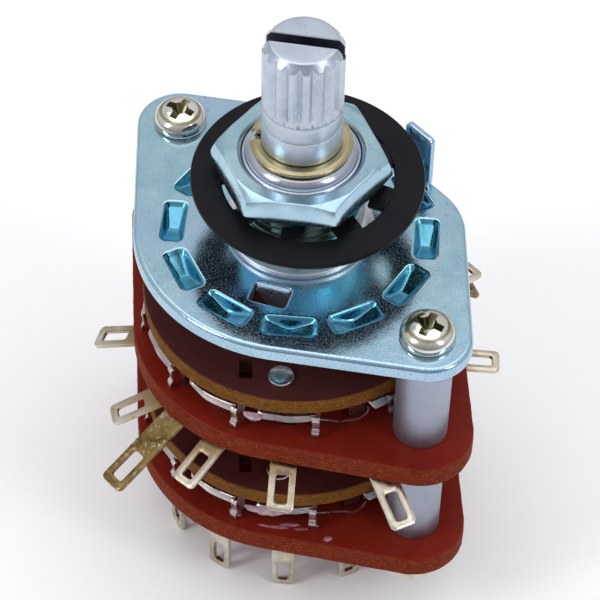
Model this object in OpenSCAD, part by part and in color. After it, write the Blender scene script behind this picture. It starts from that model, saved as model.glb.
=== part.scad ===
// Two-deck open-frame rotary switch: knurled shaft, threaded bushing, pressed
// index plate and two lozenge boards stacked on two tie screws.
// +Z runs up the shaft, z = 0 is the top face of the index plate, X runs
// through the two tie screws. Millimetres.

/* [Shaft] */
// Diameter of the shaft
shaft_d = 6; // [5.8:0.05:6.05]
// Height of the shaft tip over the index plate
tip_z = 19.2; // [18.5:0.1:24]
// Number of knurl teeth
knurl_n = 18; // [12:1:24]
// Depth of the knurl grooves
knurl_depth = 0.28; // [0.1:0.02:0.4]
// Length of the knurled part
knurl_len = 5.3; // [3:0.1:5.5]
// Width of the screwdriver slot
slot_w = 0.9; // [0.6:0.05:1.2]
// Depth of the screwdriver slot
slot_depth = 1.3; // [0.6:0.1:2]

/* [Bushing and nut] */
// Outside diameter of the thread
thread_d = 9; // [8.8:0.05:9]
// Height of the bushing top over the index plate
bushing_z = 8; // [7.9:0.1:8.1]
// Nut width across flats
nut_af = 12; // [11:0.5:14]
// Outside diameter of the lock washer
washer_d = 17.6; // [16:0.1:19]

/* [Frame] */
// Distance between the two tie screws
tie_spacing = 29; // [28.4:0.1:30]
// Index plate thickness
plate_t = 1.2; // [1:0.1:1.4]
// Board thickness
board_t = 2; // [1.8:0.1:2.1]
// Spacer tube length
tube_len = 9.6; // [9.4:0.1:9.8]
// Spacer tube outside diameter
tube_d = 4.2; // [3.8:0.1:4.6]

/* [Decks] */
// Diameter of the rotor discs
disc_d = 24.2; // [23.6:0.1:24.6]
// Rotor disc thickness
disc_t = 1.5; // [1.2:0.1:1.6]
// Width of a solder lug
lug_w = 2.1; // [1.8:0.1:2.4]
// Downward splay of the upper lugs, degrees
upper_lug_bend = 24; // [15:1:40]

/* [Hidden] */
$fn = 64;
shaft_r = shaft_d / 2;
thread_r = thread_d / 2;
half = tie_spacing / 2;
plate_R = 12.7;
plate_re = 3.4;
board_R = 13;
board_re = 4.15;
flange_r = 5.7;
flange_h = 0.65;
collar_h = 1.7;
nut_bottom = 6.2;
nut_top = 8.2;
tooth_twist = 22;
washer_mid = nut_bottom - 0.75 * sin(tooth_twist) - 0.25 * cos(tooth_twist);
clip_bottom = 8.9;
clip_top = 9.35;
knurl_top = tip_z - 0.5;
pocket_r = 9.65;
pocket_c = [0.4, -0.32, 0];
drive_r = 2.5;
drive_flat = 1.6;
bump = 0.5;
arm_top = -2.6;
arm_t = 0.5;
b1_top = -plate_t - tube_len;
b1_bot = b1_top - board_t;
b2_top = b1_bot - tube_len;
b2_bot = b2_top - board_t;
gap_disc = 2.8;
d1_bot = b1_top + gap_disc;
d2_bot = b2_top + gap_disc;
d1_top = d1_bot + disc_t;
d2_top = d2_bot + disc_t;
blade_t = 0.3;
strip_t = 0.3;
strip_gap = 0.15;
lug_t = 0.4;
shaft_end = b2_bot - 1.4;
floor_z = b2_bot - 7.6;
pole_a = [-135, -105, -75, -45, -15];
pole_b = [45, 75, 105, 135, 165];
upper_commons = [-89, 94];
lower_commons = [-90, 90];
rivet_a = -48;
rivet_r = 9.9;

// ---- outlines -------------------------------------------------------------
function arc(cx, r, a0, a1, n) =
    [for (i = [0:n]) let (a = a0 + (a1 - a0) * i / n) [cx + r * cos(a), r * sin(a)]];

// Round body with two ears on the X axis, as one closed outline.
function lozenge(R, re, L) =
    let (p = acos((R - re) / L))
    concat(arc(L, re, -p, p, 14), arc(0, R, p, 180 - p, 14),
           arc(-L, re, 180 - p, 180 + p, 14), arc(0, R, 180 + p, 360 - p, 14));

// Ridge and groove outline of the knurl.
function knurl(n, r, d) =
    [for (i = [0:n - 1]) each
        let (a = 360 * i / n, s = 360 / n)
        [[r * cos(a - s * 0.2), r * sin(a - s * 0.2)],
         [r * cos(a + s * 0.2), r * sin(a + s * 0.2)],
         [(r - d) * cos(a + s * 0.5), (r - d) * sin(a + s * 0.5)]]];

// Flat ring sector between two radii, as one closed outline.
function sector(r0, r1, a0, a1, n) =
    concat([for (i = [0:n]) let (a = a0 + (a1 - a0) * i / n) [r1 * cos(a), r1 * sin(a)]],
           [for (i = [n:-1:0]) let (a = a0 + (a1 - a0) * i / n) [r0 * cos(a), r0 * sin(a)]]);

module at_ears() {
    for (s = [-1, 1]) translate([s * half, 0, 0]) children();
}

// Round bar with two flats, the section that drives the rotors.
module drive_bar(z0, z1, grow = 0) {
    intersection() {
        translate([0, 0, z0]) cylinder(r = drive_r + grow, h = z1 - z0);
        translate([-4, -drive_flat - grow, z0 - 1])
            cube([8, 2 * (drive_flat + grow), z1 - z0 + 2]);
    }
}

// ---- frame ----------------------------------------------------------------
module index_plate() {
    color([0.62, 0.74, 0.80])
    difference() {
        union() {
            difference() {
                translate([0, 0, -plate_t]) linear_extrude(plate_t)
                    polygon(lozenge(plate_R, plate_re, half));
                translate([-15, 10.9, -3]) cube([30, 5, 6]);
            }
            // locating tab bent up from the rim
            translate([0.25, 10.35, -plate_t]) cube([2.9, 0.55, plate_t + 4.7]);
            // undersides of the twelve pressed detents
            for (k = [0:11]) translate(pocket_c) rotate([0, 0, 15 + 30 * k])
                translate([pocket_r - 0.95, -2.05, -plate_t - bump]) cube([1.9, 4.1, plate_t]);
        }
        for (k = [0:11]) translate(pocket_c) rotate([0, 0, 15 + 30 * k])
            translate([pocket_r - 0.8, -1.9, -0.7]) cube([1.6, 3.8, 2]);
        // stop window beside the bushing
        rotate([0, 0, -57.7]) translate([6.4, -1.55, -3]) cube([2.2, 3.1, 6]);
        translate([0, 0, -3]) cylinder(r = 4.8, h = 6);
        at_ears() translate([0, 0, -3]) cylinder(r = 1.25, h = 6, $fn = 32);
    }
}

module bushing() {
    color([0.80, 0.81, 0.83])
    difference() {
        union() {
            translate([0, 0, -plate_t - 0.6]) cylinder(r1 = 5.0, r2 = 5.3, h = 0.6);
            translate([0, 0, -plate_t]) cylinder(r = 4.8, h = plate_t);
            cylinder(r = flange_r, h = flange_h);
            translate([0, 0, flange_h]) cylinder(r = 5, h = collar_h - flange_h);
            translate([0, 0, collar_h]) cylinder(r = thread_r - 0.4, h = 0.5);
            translate([0, 0, collar_h + 0.5]) cylinder(r = thread_r, h = bushing_z - collar_h - 0.8);
            translate([0, 0, bushing_z - 0.3]) cylinder(r1 = thread_r, r2 = thread_r - 0.3, h = 0.3);
        }
        translate([0, 0, -4]) cylinder(r = shaft_r + 0.05, h = 20);
    }
}

module hex_nut() {
    color([0.66, 0.76, 0.84])
    difference() {
        intersection() {
            translate([0, 0, nut_bottom]) rotate([0, 0, 41.5])
                cylinder(r = nut_af / 2 / cos(30), h = nut_top - nut_bottom, $fn = 6);
            union() {
                translate([0, 0, nut_bottom]) cylinder(r1 = nut_af / 2 + 0.2, r2 = nut_af / 2 + 1.4, h = 0.7);
                translate([0, 0, nut_bottom + 0.7]) cylinder(r = nut_af / 2 + 1.4, h = nut_top - nut_bottom - 1.4);
                translate([0, 0, nut_top - 0.7]) cylinder(r1 = nut_af / 2 + 1.4, r2 = nut_af / 2 + 0.2, h = 0.7);
            }
        }
        translate([0, 0, nut_bottom - 1]) cylinder(r = thread_r + 0.02, h = 5);
        translate([0, 0, nut_top - 0.45]) cylinder(r1 = thread_r, r2 = thread_r + 0.55, h = 0.46);
    }
}

module lock_washer() {
    color([0.09, 0.09, 0.10])
    translate([0.2, 0.22, 0])
    union() {
        difference() {
            translate([0, 0, washer_mid - 0.25]) cylinder(r = washer_d / 2, h = 0.5);
            translate([0, 0, washer_mid - 1]) cylinder(r = 6.5, h = 3);
        }
        // nine inner teeth, twisted so that one edge bites the nut
        for (k = [0:8]) rotate([0, 0, 29 + 40 * k])
            translate([0, 0, washer_mid]) rotate([tooth_twist, 0, 0])
                translate([4.9, -0.75, -0.25]) cube([2.1, 1.5, 0.5]);
    }
}

module tie_screws() {
    color([0.80, 0.79, 0.75])
    at_ears() difference() {
        union() {
            translate([0, 0, b2_bot - 2.9]) cylinder(r = 1.15, h = -b2_bot + 2.9 + 0.2, $fn = 32);
            rotate_extrude($fn = 48)
                polygon([[0, 0], [2.1, 0], [2.1, 0.35], [2.02, 0.65], [1.8, 0.98],
                         [1.4, 1.28], [0.85, 1.45], [0, 1.5]]);
        }
        rotate([0, 0, 20]) translate([0, 0, 0.55]) {
            translate([-0.3, -1.25, 0]) cube([0.6, 2.5, 2]);
            translate([-1.25, -0.3, 0]) cube([2.5, 0.6, 2]);
        }
    }
}

module spacers(z0) {
    color([0.72, 0.74, 0.77])
    at_ears() translate([0, 0, z0]) difference() {
        cylinder(r = tube_d / 2, h = tube_len, $fn = 48);
        translate([0, 0, -1]) cylinder(r = 1.3, h = tube_len + 2, $fn = 32);
    }
}

module upper_spacers() spacers(b1_top);

module lower_spacers() spacers(b2_top);

module tie_nuts() {
    color([0.80, 0.79, 0.75])
    at_ears() difference() {
        intersection() {
            translate([0, 0, b2_bot - 2.5]) rotate([0, 0, 24])
                cylinder(r = 2.75 / cos(30), h = 2.5, $fn = 6);
            translate([0, 0, b2_bot - 2.5]) cylinder(r1 = 2.85, r2 = 4.2, h = 2.5, $fn = 48);
        }
        translate([0, 0, b2_bot - 3]) cylinder(r = 1.17, h = 4, $fn = 32);
    }
}

// ---- decks ----------------------------------------------------------------
module board(zb, commons) {
    color([0.52, 0.12, 0.06])
    difference() {
        translate([0, 0, zb]) linear_extrude(board_t)
            polygon(lozenge(board_R, board_re, half));
        translate([0, 0, zb - 1]) cylinder(r = 3.6, h = board_t + 2);
        at_ears() translate([0, 0, zb - 1]) cylinder(r = 1.25, h = board_t + 2, $fn = 32);
        // slots for the terminals
        for (a = concat(pole_a, pole_b)) rotate([0, 0, a])
            translate([10.35, -0.75, zb - 1]) cube([0.5, 1.5, board_t + 2]);
        for (a = commons) rotate([0, 0, a])
            translate([7.55, -0.75, zb - 1]) cube([0.5, 1.5, board_t + 2]);
    }
}

module upper_board() board(b1_bot, upper_commons);

module lower_board() board(b2_bot, lower_commons);

module disc(zb) {
    color([0.36, 0.09, 0.06])
    difference() {
        translate([0, 0, zb]) cylinder(r = disc_d / 2, h = disc_t, $fn = 96);
        drive_bar(zb - 1, zb + disc_t + 1, 0.02);
        for (s = [0, 180]) rotate([0, 0, s]) {
            rotate([0, 0, rivet_a]) translate([rivet_r, 0, zb - 1]) cylinder(r = 0.62, h = disc_t + 2, $fn = 24);
            translate([4.18, -8.78, zb - 1]) rotate([0, 0, -40]) translate([-0.95, -0.5, 0])
                cube([1.9, 1, disc_t + 2]);
        }
    }
}

module upper_rotor_disc() disc(d1_bot);

module lower_rotor_disc() disc(d2_bot);

// Two flat blades under a disc: an inner arc for the common finger and a
// nose that bridges to one outer contact.
module blades(zb) {
    color([0.86, 0.84, 0.80])
    for (s = [0, 180]) rotate([0, 0, s]) difference() {
        union() {
            translate([0, 0, zb - blade_t]) linear_extrude(blade_t)
                polygon(sector(5.2, 7.4, -145, 5, 30));
            rotate([0, 0, rivet_a]) translate([6.2, -1.2, zb - blade_t]) cube([5.3, 2.4, blade_t]);
        }
        rotate([0, 0, rivet_a]) translate([rivet_r, 0, zb - 1]) cylinder(r = 0.62, h = 2, $fn = 24);
    }
}

module upper_rotor_blades() blades(d1_bot);

module lower_rotor_blades() blades(d2_bot);

module rivets(zb) {
    color([0.82, 0.81, 0.79])
    for (s = [0, 180]) rotate([0, 0, s + rivet_a]) translate([rivet_r, 0, 0]) {
        translate([0, 0, zb - blade_t]) cylinder(r = 0.6, h = disc_t + blade_t, $fn = 24);
        translate([0, 0, zb + disc_t]) cylinder(r = 1, h = 0.4, $fn = 32);
        translate([0, 0, zb - blade_t - 0.1]) cylinder(r = 0.8, h = 0.1, $fn = 32);
    }
}

module upper_rotor_rivets() rivets(d1_bot);

module lower_rotor_rivets() rivets(d2_bot);

// Side view of a lug under a board, as one closed outline: flat foot from
// ri to the bend at rb, then a tongue of length l falling at the angle b.
function lug_side(ri, rb, l, b, t) =
    [[ri, 0], [rb, 0], [rb + l * cos(b), -l * sin(b)],
     [rb + l * cos(b) - t * sin(b), -l * sin(b) - t * cos(b)],
     [rb - t * tan(b / 2), -t], [ri, -t]];

// One stamped throw terminal: contact strip and leg over the board, neck
// through it, lug with a rectangular eye below.
module terminal(zt, a, rb, l, b) {
    zs = zt + gap_disc - blade_t - strip_gap;
    w = lug_w;
    rotate([0, 0, a]) {
        difference() {
            translate([0, w / 2, zt - board_t]) rotate([90, 0, 0]) linear_extrude(w)
                polygon(lug_side(10.2, rb, l, b, lug_t));
            translate([rb, 0, zt - board_t]) rotate([0, b, 0])
                translate([l - 2.9, -w / 2 + 0.55, -1]) cube([2.3, w - 1.1, 2]);
        }
        translate([10.4, -0.7, zt - board_t - 0.1]) cube([0.4, 1.4, zs - zt + board_t + 0.1 - 0.1]);
        translate([0, 0, zs - strip_t]) linear_extrude(strip_t)
            polygon(sector(10.4, 11.9, -11, 13.5, 10));
        rotate([0, 0, 12]) translate([11, -0.45, zt]) cube([0.35, 0.9, zs - zt - 0.1]);
    }
}

module upper_terminals() {
    color([0.78, 0.76, 0.70])
    for (a = concat(pole_a, pole_b))
        terminal(b1_top, a, (a == -15 || a == 165) ? 14.8 : 11.6, a == 75 ? 5.4 : 4.9,
                 a == 75 ? upper_lug_bend / 3 : upper_lug_bend);
}

module lower_terminals() {
    color([0.78, 0.76, 0.70])
    for (a = concat(pole_a, pole_b))
        terminal(b2_top, a, 11.3, b2_bot - floor_z, 90);
}

// One common terminal: finger under the rotor blade, neck, long lug that
// may be set sideways by yaw degrees about its neck.
module common(zt, a, rb, l, b, w, yaw = 0) {
    zs = zt + gap_disc - blade_t - strip_gap;
    rotate([0, 0, a]) {
        translate([7.8, 0, 0]) rotate([0, 0, yaw]) translate([-7.8, 0, 0]) difference() {
            translate([0, w / 2, zt - board_t]) rotate([90, 0, 0]) linear_extrude(w)
                polygon(lug_side(7, rb, l, b, lug_t));
            translate([rb, 0, zt - board_t]) rotate([0, b, 0])
                translate([l - 3.3, -w / 2 + 0.6, -1]) cube([2.6, w - 1.2, 2]);
        }
        translate([7.6, -0.7, zt - board_t - 0.1]) cube([0.4, 1.4, zs - zt + board_t]);
        translate([5.4, -0.9, zs - strip_t]) cube([2.9, 1.8, strip_t]);
    }
}

module upper_common_terminals() {
    color([0.66, 0.52, 0.28]) {
        common(b1_top, upper_commons[0], 12.2, 7.7, 24, 2.4);
        common(b1_top, upper_commons[1], 12.2, 7.0, 38, 2.4, -19);
    }
}

module lower_common_terminals() {
    color([0.66, 0.52, 0.28])
    for (a = lower_commons) common(b2_top, a, 8.4, 7.2, 90, 2.4);
}

// ---- shaft group ----------------------------------------------------------
module shaft() {
    color([0.80, 0.81, 0.83])
    difference() {
        union() {
            // knurl with a chamfered crown
            intersection() {
                translate([0, 0, knurl_top + 0.5 - knurl_len - 0.5]) rotate([0, 0, 3])
                    linear_extrude(knurl_len + 1) polygon(knurl(knurl_n, shaft_r - 0.015, knurl_depth));
                union() {
                    translate([0, 0, knurl_top - knurl_len]) cylinder(r = shaft_r + 0.5, h = knurl_len);
                    translate([0, 0, knurl_top]) cylinder(r1 = shaft_r + 0.05, r2 = shaft_r - 0.5, h = 0.5);
                }
            }
            translate([0, 0, clip_top]) cylinder(r = shaft_r, h = knurl_top - knurl_len - clip_top);
            translate([0, 0, clip_bottom - 0.02]) cylinder(r = shaft_r - 0.4, h = clip_top - clip_bottom + 0.02);
            // turned relief under the groove of the split ring
            translate([0, 0, clip_bottom - 0.5]) cylinder(r = shaft_r - 0.25, h = 0.5);
            translate([0, 0, arm_top]) cylinder(r = shaft_r, h = clip_bottom - 0.5 - arm_top);
            drive_bar(shaft_end, arm_top);
        }
        translate([0, 0, tip_z - slot_depth]) rotate([0, 0, 40])
            translate([-5, -slot_w / 2, 0]) cube([10, slot_w, 3]);
    }
}

module shaft_clip() {
    color([0.78, 0.70, 0.46])
    difference() {
        translate([0, 0, clip_bottom]) cylinder(r = 3.85, h = clip_top - clip_bottom);
        translate([0, 0, clip_bottom - 1]) cylinder(r = shaft_r - 0.4, h = 3);
        rotate([0, 0, -137]) translate([0, -0.5, clip_bottom - 1]) cube([6, 1, 3]);
    }
}

// Sprung bar on the shaft, its two noses lie between the pressed detents.
module detent_arm() {
    color([0.60, 0.70, 0.74])
    difference() {
        union() {
            translate([-10.9, -1.7, arm_top - arm_t]) cube([21.8, 3.4, arm_t]);
            translate([0, 0, arm_top - arm_t]) cylinder(r = 4.2, h = arm_t);
            for (s = [-1, 1]) translate([s * pocket_r, 0, arm_top - 0.1])
                cylinder(r1 = 1.1, r2 = 0.75, h = -plate_t - bump - 0.1 - arm_top + 0.1, $fn = 32);
        }
        drive_bar(arm_top - 3, arm_top + 3, 0.02);
    }
}

module sleeve(z0, z1) {
    color([0.72, 0.74, 0.77])
    translate([0, 0, z0]) difference() {
        cylinder(r = 3.3, h = z1 - z0, $fn = 48);
        translate([0, 0, -1]) cylinder(r = drive_r + 0.02, h = z1 - z0 + 2);
    }
}

module upper_sleeve() sleeve(d1_top, arm_top - arm_t);

module lower_sleeve() sleeve(d2_top, d1_bot);

module end_clip() {
    color([0.70, 0.71, 0.72])
    translate([0, 0, d2_bot - 0.6]) difference() {
        cylinder(r = 3.9, h = 0.6);
        translate([0, 0, -1]) drive_bar(0, 3, 0.02);
        translate([2.2, -0.8, -1]) cube([3, 1.6, 3]);
    }
}

index_plate();
bushing();
shaft();
shaft_clip();
hex_nut();
lock_washer();
tie_screws();
upper_spacers();
lower_spacers();
tie_nuts();
upper_board();
lower_board();
upper_rotor_disc();
lower_rotor_disc();
upper_rotor_blades();
lower_rotor_blades();
upper_rotor_rivets();
lower_rotor_rivets();
upper_terminals();
lower_terminals();
upper_common_terminals();
lower_common_terminals();
detent_arm();
upper_sleeve();
lower_sleeve();
end_clip();
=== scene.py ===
import math

import bmesh
import bpy
import numpy as np
from mathutils import Matrix, Vector, noise
from mathutils.geometry import delaunay_2d_cdt


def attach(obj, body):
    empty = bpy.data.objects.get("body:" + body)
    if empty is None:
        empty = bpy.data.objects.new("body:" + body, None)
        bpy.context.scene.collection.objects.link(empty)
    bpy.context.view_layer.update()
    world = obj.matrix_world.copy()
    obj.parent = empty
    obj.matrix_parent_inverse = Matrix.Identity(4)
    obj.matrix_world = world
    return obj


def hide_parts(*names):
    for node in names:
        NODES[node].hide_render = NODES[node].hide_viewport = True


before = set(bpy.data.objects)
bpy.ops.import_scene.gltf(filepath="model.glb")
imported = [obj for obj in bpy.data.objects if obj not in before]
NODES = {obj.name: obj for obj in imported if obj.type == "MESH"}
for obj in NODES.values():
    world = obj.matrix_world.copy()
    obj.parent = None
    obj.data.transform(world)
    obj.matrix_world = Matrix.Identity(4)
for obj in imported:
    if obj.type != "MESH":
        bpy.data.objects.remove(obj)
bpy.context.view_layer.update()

MM = 0.001

# ---- sizes of the frame, in millimetres ---------------------------------------
HALF = 14.5
PLATE_R, PLATE_RE, PLATE_T = 12.7, 3.4, 1.2
POCKET_C = (0.4, -0.32)
BOARD_R, BOARD_RE, BOARD_T = 13.0, 4.15, 2.0
TUBE = 9.6
B1_TOP = -PLATE_T - TUBE
B1_BOT = B1_TOP - BOARD_T
B2_TOP = B1_BOT - TUBE
B2_BOT = B2_TOP - BOARD_T
D1_BOT, D2_BOT = B1_TOP + 2.8, B2_TOP + 2.8
DISC_R, DISC_T = 12.1, 1.5
BLADE_T, STRIP_T, STRIP_GAP, LUG_T, LUG_W = 0.3, 0.3, 0.15, 0.4, 2.1
FLOOR_Z = B2_BOT - 7.6
POLE_A = [-135, -105, -75, -45, -15]
POLE_B = [45, 75, 105, 135, 165]
RIVET_A, RIVET_R = -48.0, 9.9
ARM_TOP = -2.6
TIP_Z = 19.2


def rad(d):
    return math.radians(d)


# ---- camera: fitted to the photograph's view -----------------------------------
cam_data = bpy.data.cameras.new("view_camera")
cam_data.lens = 157.35
cam_data.sensor_width = 36.0
cam_data.sensor_fit = "HORIZONTAL"
cam_data.clip_start = 0.01
cam_data.clip_end = 10.0
cam = bpy.data.objects.new("view_camera", cam_data)
bpy.context.scene.collection.objects.link(cam)
_r = Vector((0.649288, 0.760344, 0.017386)).normalized()
_b = Vector((0.493382, -0.438495, 0.751197)).normalized()
_u = _b.cross(_r).normalized()
_r = _u.cross(_b).normalized()
cam.matrix_world = Matrix((
    (_r.x, _u.x, _b.x, 0.102012),
    (_r.y, _u.y, _b.y, -0.090417),
    (_r.z, _u.z, _b.z, 0.146462),
    (0.0, 0.0, 0.0, 1.0),
))
bpy.context.scene.camera = cam


# ---- mesh code -------------------------------------------------------------------
def offset(loop, d):
    """Moves a closed outline inwards by d (for one that runs counter-clockwise)."""
    p = np.asarray(loop, float)
    e1 = p - np.roll(p, 1, 0)
    e2 = np.roll(p, -1, 0) - p
    e1 /= np.linalg.norm(e1, axis=1)[:, None]
    e2 /= np.linalg.norm(e2, axis=1)[:, None]
    n1 = np.stack([-e1[:, 1], e1[:, 0]], 1)
    n2 = np.stack([-e2[:, 1], e2[:, 0]], 1)
    n = (n1 + n2) / np.maximum(1 + (n1 * n2).sum(1), 0.35)[:, None]
    return [tuple(q) for q in p + n * d]


def fillet(poly, radius, seg=3):
    """Rounds the corners of a closed polygon; radius is one number or one per corner."""
    out = []
    n = len(poly)
    for i in range(n):
        r = radius[i] if isinstance(radius, (list, tuple)) else radius
        p, a, b = (np.array(poly[k], float) for k in (i, i - 1, (i + 1) % n))
        if r <= 0:
            out.append(tuple(p))
            continue
        la, lb = np.linalg.norm(a - p), np.linalg.norm(b - p)
        u, w = (a - p) / la, (b - p) / lb
        ang = math.acos(max(-1.0, min(1.0, float(u @ w))))
        if ang > math.pi - 0.02:
            out.append(tuple(p))
            continue
        t = min(r / math.tan(ang / 2), 0.48 * la, 0.48 * lb)
        r2 = t * math.tan(ang / 2)
        c = p + (u + w) / np.linalg.norm(u + w) * (r2 / math.sin(ang / 2))
        s, e = p + u * t - c, p + w * t - c
        om = math.pi - ang
        for k in range(seg + 1):
            f = k / seg
            v = (math.sin((1 - f) * om) * s + math.sin(f * om) * e) / math.sin(om)
            out.append(tuple(c + v))
    return out


def dense(loop, step):
    """The same closed outline with no edge longer than step."""
    out = []
    n = len(loop)
    for i in range(n):
        a, b = np.array(loop[i], float), np.array(loop[(i + 1) % n], float)
        k = max(1, int(math.ceil(np.linalg.norm(b - a) / step)))
        out.extend(tuple(a + (b - a) * j / k) for j in range(k))
    return out


def circle(r, n=64, cx=0.0, cy=0.0):
    return [(cx + r * math.cos(2 * math.pi * i / n), cy + r * math.sin(2 * math.pi * i / n)) for i in range(n)]


def rrect(w, h, r, cx=0.0, cy=0.0, rot=0.0, seg=4):
    pts = fillet([(-w / 2, -h / 2), (w / 2, -h / 2), (w / 2, h / 2), (-w / 2, h / 2)], r, seg)
    c, s = math.cos(rad(rot)), math.sin(rad(rot))
    return [(cx + x * c - y * s, cy + x * s + y * c) for x, y in pts]


def lozenge(R, re, L, ne=28, nb=40, ns=18):
    p = math.degrees(math.acos((R - re) / L))

    def arc(cx, r, a0, a1, n):
        return [(cx + r * math.cos(rad(a0 + (a1 - a0) * i / n)), r * math.sin(rad(a0 + (a1 - a0) * i / n))) for i in range(n + 1)]

    loop = arc(L, re, -p, p, ne) + arc(0, R, p, 180 - p, nb) + arc(-L, re, 180 - p, 180 + p, ne) + arc(0, R, 180 + p, 360 - p, nb)
    return dense(loop, 0.6)


def clip_half(loop, nx, ny, d):
    """Cuts an outline at the line nx*x + ny*y = d."""
    out = []
    n = len(loop)
    for i in range(n):
        a, b = loop[i], loop[(i + 1) % n]
        da, db = nx * a[0] + ny * a[1] - d, nx * b[0] + ny * b[1] - d
        if da <= 0:
            out.append(a)
        if da * db < 0:
            t = da / (da - db)
            out.append((a[0] + (b[0] - a[0]) * t, a[1] + (b[1] - a[1]) * t))
    return out


def turn(loop, a, cx=0.0, cy=0.0):
    c, s = math.cos(rad(a)), math.sin(rad(a))
    return [(cx + x * c - y * s, cy + x * s + y * c) for x, y in loop]


class Shell:
    """Points in millimetres and faces, gathered into one mesh."""

    def __init__(self):
        self.v, self.f = [], []

    def add(self, pts):
        i = len(self.v)
        self.v.extend((float(p[0]), float(p[1]), float(p[2])) for p in pts)
        return list(range(i, len(self.v)))

    def stack(self, rows, closed=True):
        for a, b in zip(rows, rows[1:]):
            n = len(a)
            for i in range(n if closed else n - 1):
                j = (i + 1) % n
                self.f.append((a[i], a[j], b[j], b[i]))

    def fan(self, centre, row):
        n = len(row)
        for i in range(n):
            self.f.append((centre, row[i], row[(i + 1) % n]))

    def fill(self, outer, holes=(), inner=()):
        loops = [list(outer)] + [list(h) for h in holes]
        idx = [i for l in loops for i in l] + list(inner)
        co = [Vector((self.v[i][0], self.v[i][1])) for i in idx]
        edges, k = [], 0
        for l in loops:
            n = len(l)
            edges += [(k + i, k + (i + 1) % n) for i in range(n)]
            k += n
        vo, eo, fo, ov, oe, _ = delaunay_2d_cdt(co, edges, [], 0, 1e-6)
        wall = {(min(e), max(e)) for e, src in zip(eo, oe) if src}
        near = {}
        for k, f in enumerate(fo):
            for i in range(len(f)):
                near.setdefault((min(f[i], f[i - 1]), max(f[i], f[i - 1])), []).append(k)
        # walks inwards from the hull; each outline crossed changes from outside to inside or back
        ok, todo = {}, []
        for key, fs in near.items():
            if len(fs) == 1 and fs[0] not in ok:
                ok[fs[0]] = key in wall
                todo.append(fs[0])
        while todo:
            k = todo.pop()
            f = fo[k]
            for i in range(len(f)):
                key = (min(f[i], f[i - 1]), max(f[i], f[i - 1]))
                for q in near[key]:
                    if q not in ok:
                        ok[q] = ok[k] != (key in wall)
                        todo.append(q)
        ok = [ok[k] for k in range(len(fo))]
        missing = [i for i in range(len(vo)) if not ov[i]]
        if missing:
            print("fill: outlines cross at", [(round(vo[i].x, 2), round(vo[i].y, 2)) for i in missing[:4]])
        z = self.v[outer[0]][2]
        extra = {i: self.add([(vo[i].x, vo[i].y, z)])[0] for i in missing}
        for f, keep in zip(fo, ok):
            if keep:
                self.f.append(tuple(idx[ov[i][0]] if ov[i] else extra[i] for i in f))

    def join(self, other, fn=None):
        k = len(self.v)
        self.v.extend(fn(p) if fn else p for p in other.v)
        self.f.extend(tuple(i + k for i in f) for f in other.f)


def rim(sh, loop, sign, z1, z0, r1, r0, seg=3, mid=0, rough=0.0, seed=0.0):
    """Wall along an outline with rolled edges: sign is 1 for an outer outline, -1 for a hole."""
    prof = []
    for i in range(seg + 1):
        t = math.pi / 2 * i / seg
        prof.append((r1 * (1 - math.sin(t)), z1 - r1 * (1 - math.cos(t)), min(1.0, i / seg)))
    for i in range(1, mid + 1):
        prof.append((0.0, z1 - r1 + (z0 + r0 - z1 + r1) * i / (mid + 1), 1.0))
    for i in range(seg + 1):
        t = math.pi / 2 * (1 - i / seg)
        prof.append((r0 * (1 - math.sin(t)), z0 + r0 * (1 - math.cos(t)), min(1.0, 1 - i / seg)))
    rows = []
    for d, z, wgt in prof:
        pts = offset(loop, sign * d)
        if rough and wgt > 0:
            away = offset(loop, sign * (d + 1.0))
            q = []
            for p, a in zip(pts, away):
                g = noise.noise(Vector((p[0] * 1.9 + seed, p[1] * 1.9, z * 3.1))) * 0.6 + noise.noise(Vector((p[0] * 5.3, p[1] * 5.3 + seed, z * 9.0))) * 0.4
                m = rough * wgt * (g + 0.35)
                q.append((p[0] + (a[0] - p[0]) * m, p[1] + (a[1] - p[1]) * m))
            pts = q
        rows.append(sh.add([(x, y, z) for x, y in pts]))
    sh.stack(rows)
    return rows[0], rows[-1]


def slab(sh, outer, holes, z1, z0, r1=0.08, r0=0.08, seg=3, hole_r=0.05, **kw):
    tops, bots = [], []
    t, b = rim(sh, outer, 1, z1, z0, r1, r0, seg, **kw)
    for h in holes:
        ht, hb = rim(sh, h, -1, z1, z0, hole_r, hole_r, 2)
        tops.append(ht)
        bots.append(hb)
    sh.fill(t, tops)
    sh.fill(b, bots)


def lathe(sh, prof, n=64, cx=0.0, cy=0.0, closed=False, wave=None):
    """Turned body. prof is a list of (r, z) from one end to the other; an end with r = 0 closes it."""
    rows, ends = [], {}
    for k, (r, z) in enumerate(prof):
        if r < 1e-6:
            ends[k] = sh.add([(cx, cy, z)])[0]
            rows.append(None)
            continue
        pts = []
        for i in range(n):
            a = 2 * math.pi * i / n
            rr, zz = (r, z) if wave is None else wave(r, z, a)
            pts.append((cx + rr * math.cos(a), cy + rr * math.sin(a), zz))
        rows.append(sh.add(pts))
    for a, b, k in zip(rows, rows[1:], range(len(rows))):
        if a and b:
            sh.stack([a, b])
        elif b:
            sh.fan(ends[k], b)
        elif a:
            sh.fan(ends[k + 1], a)
    if closed:
        sh.stack([rows[-1], rows[0]])
    return rows


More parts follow.
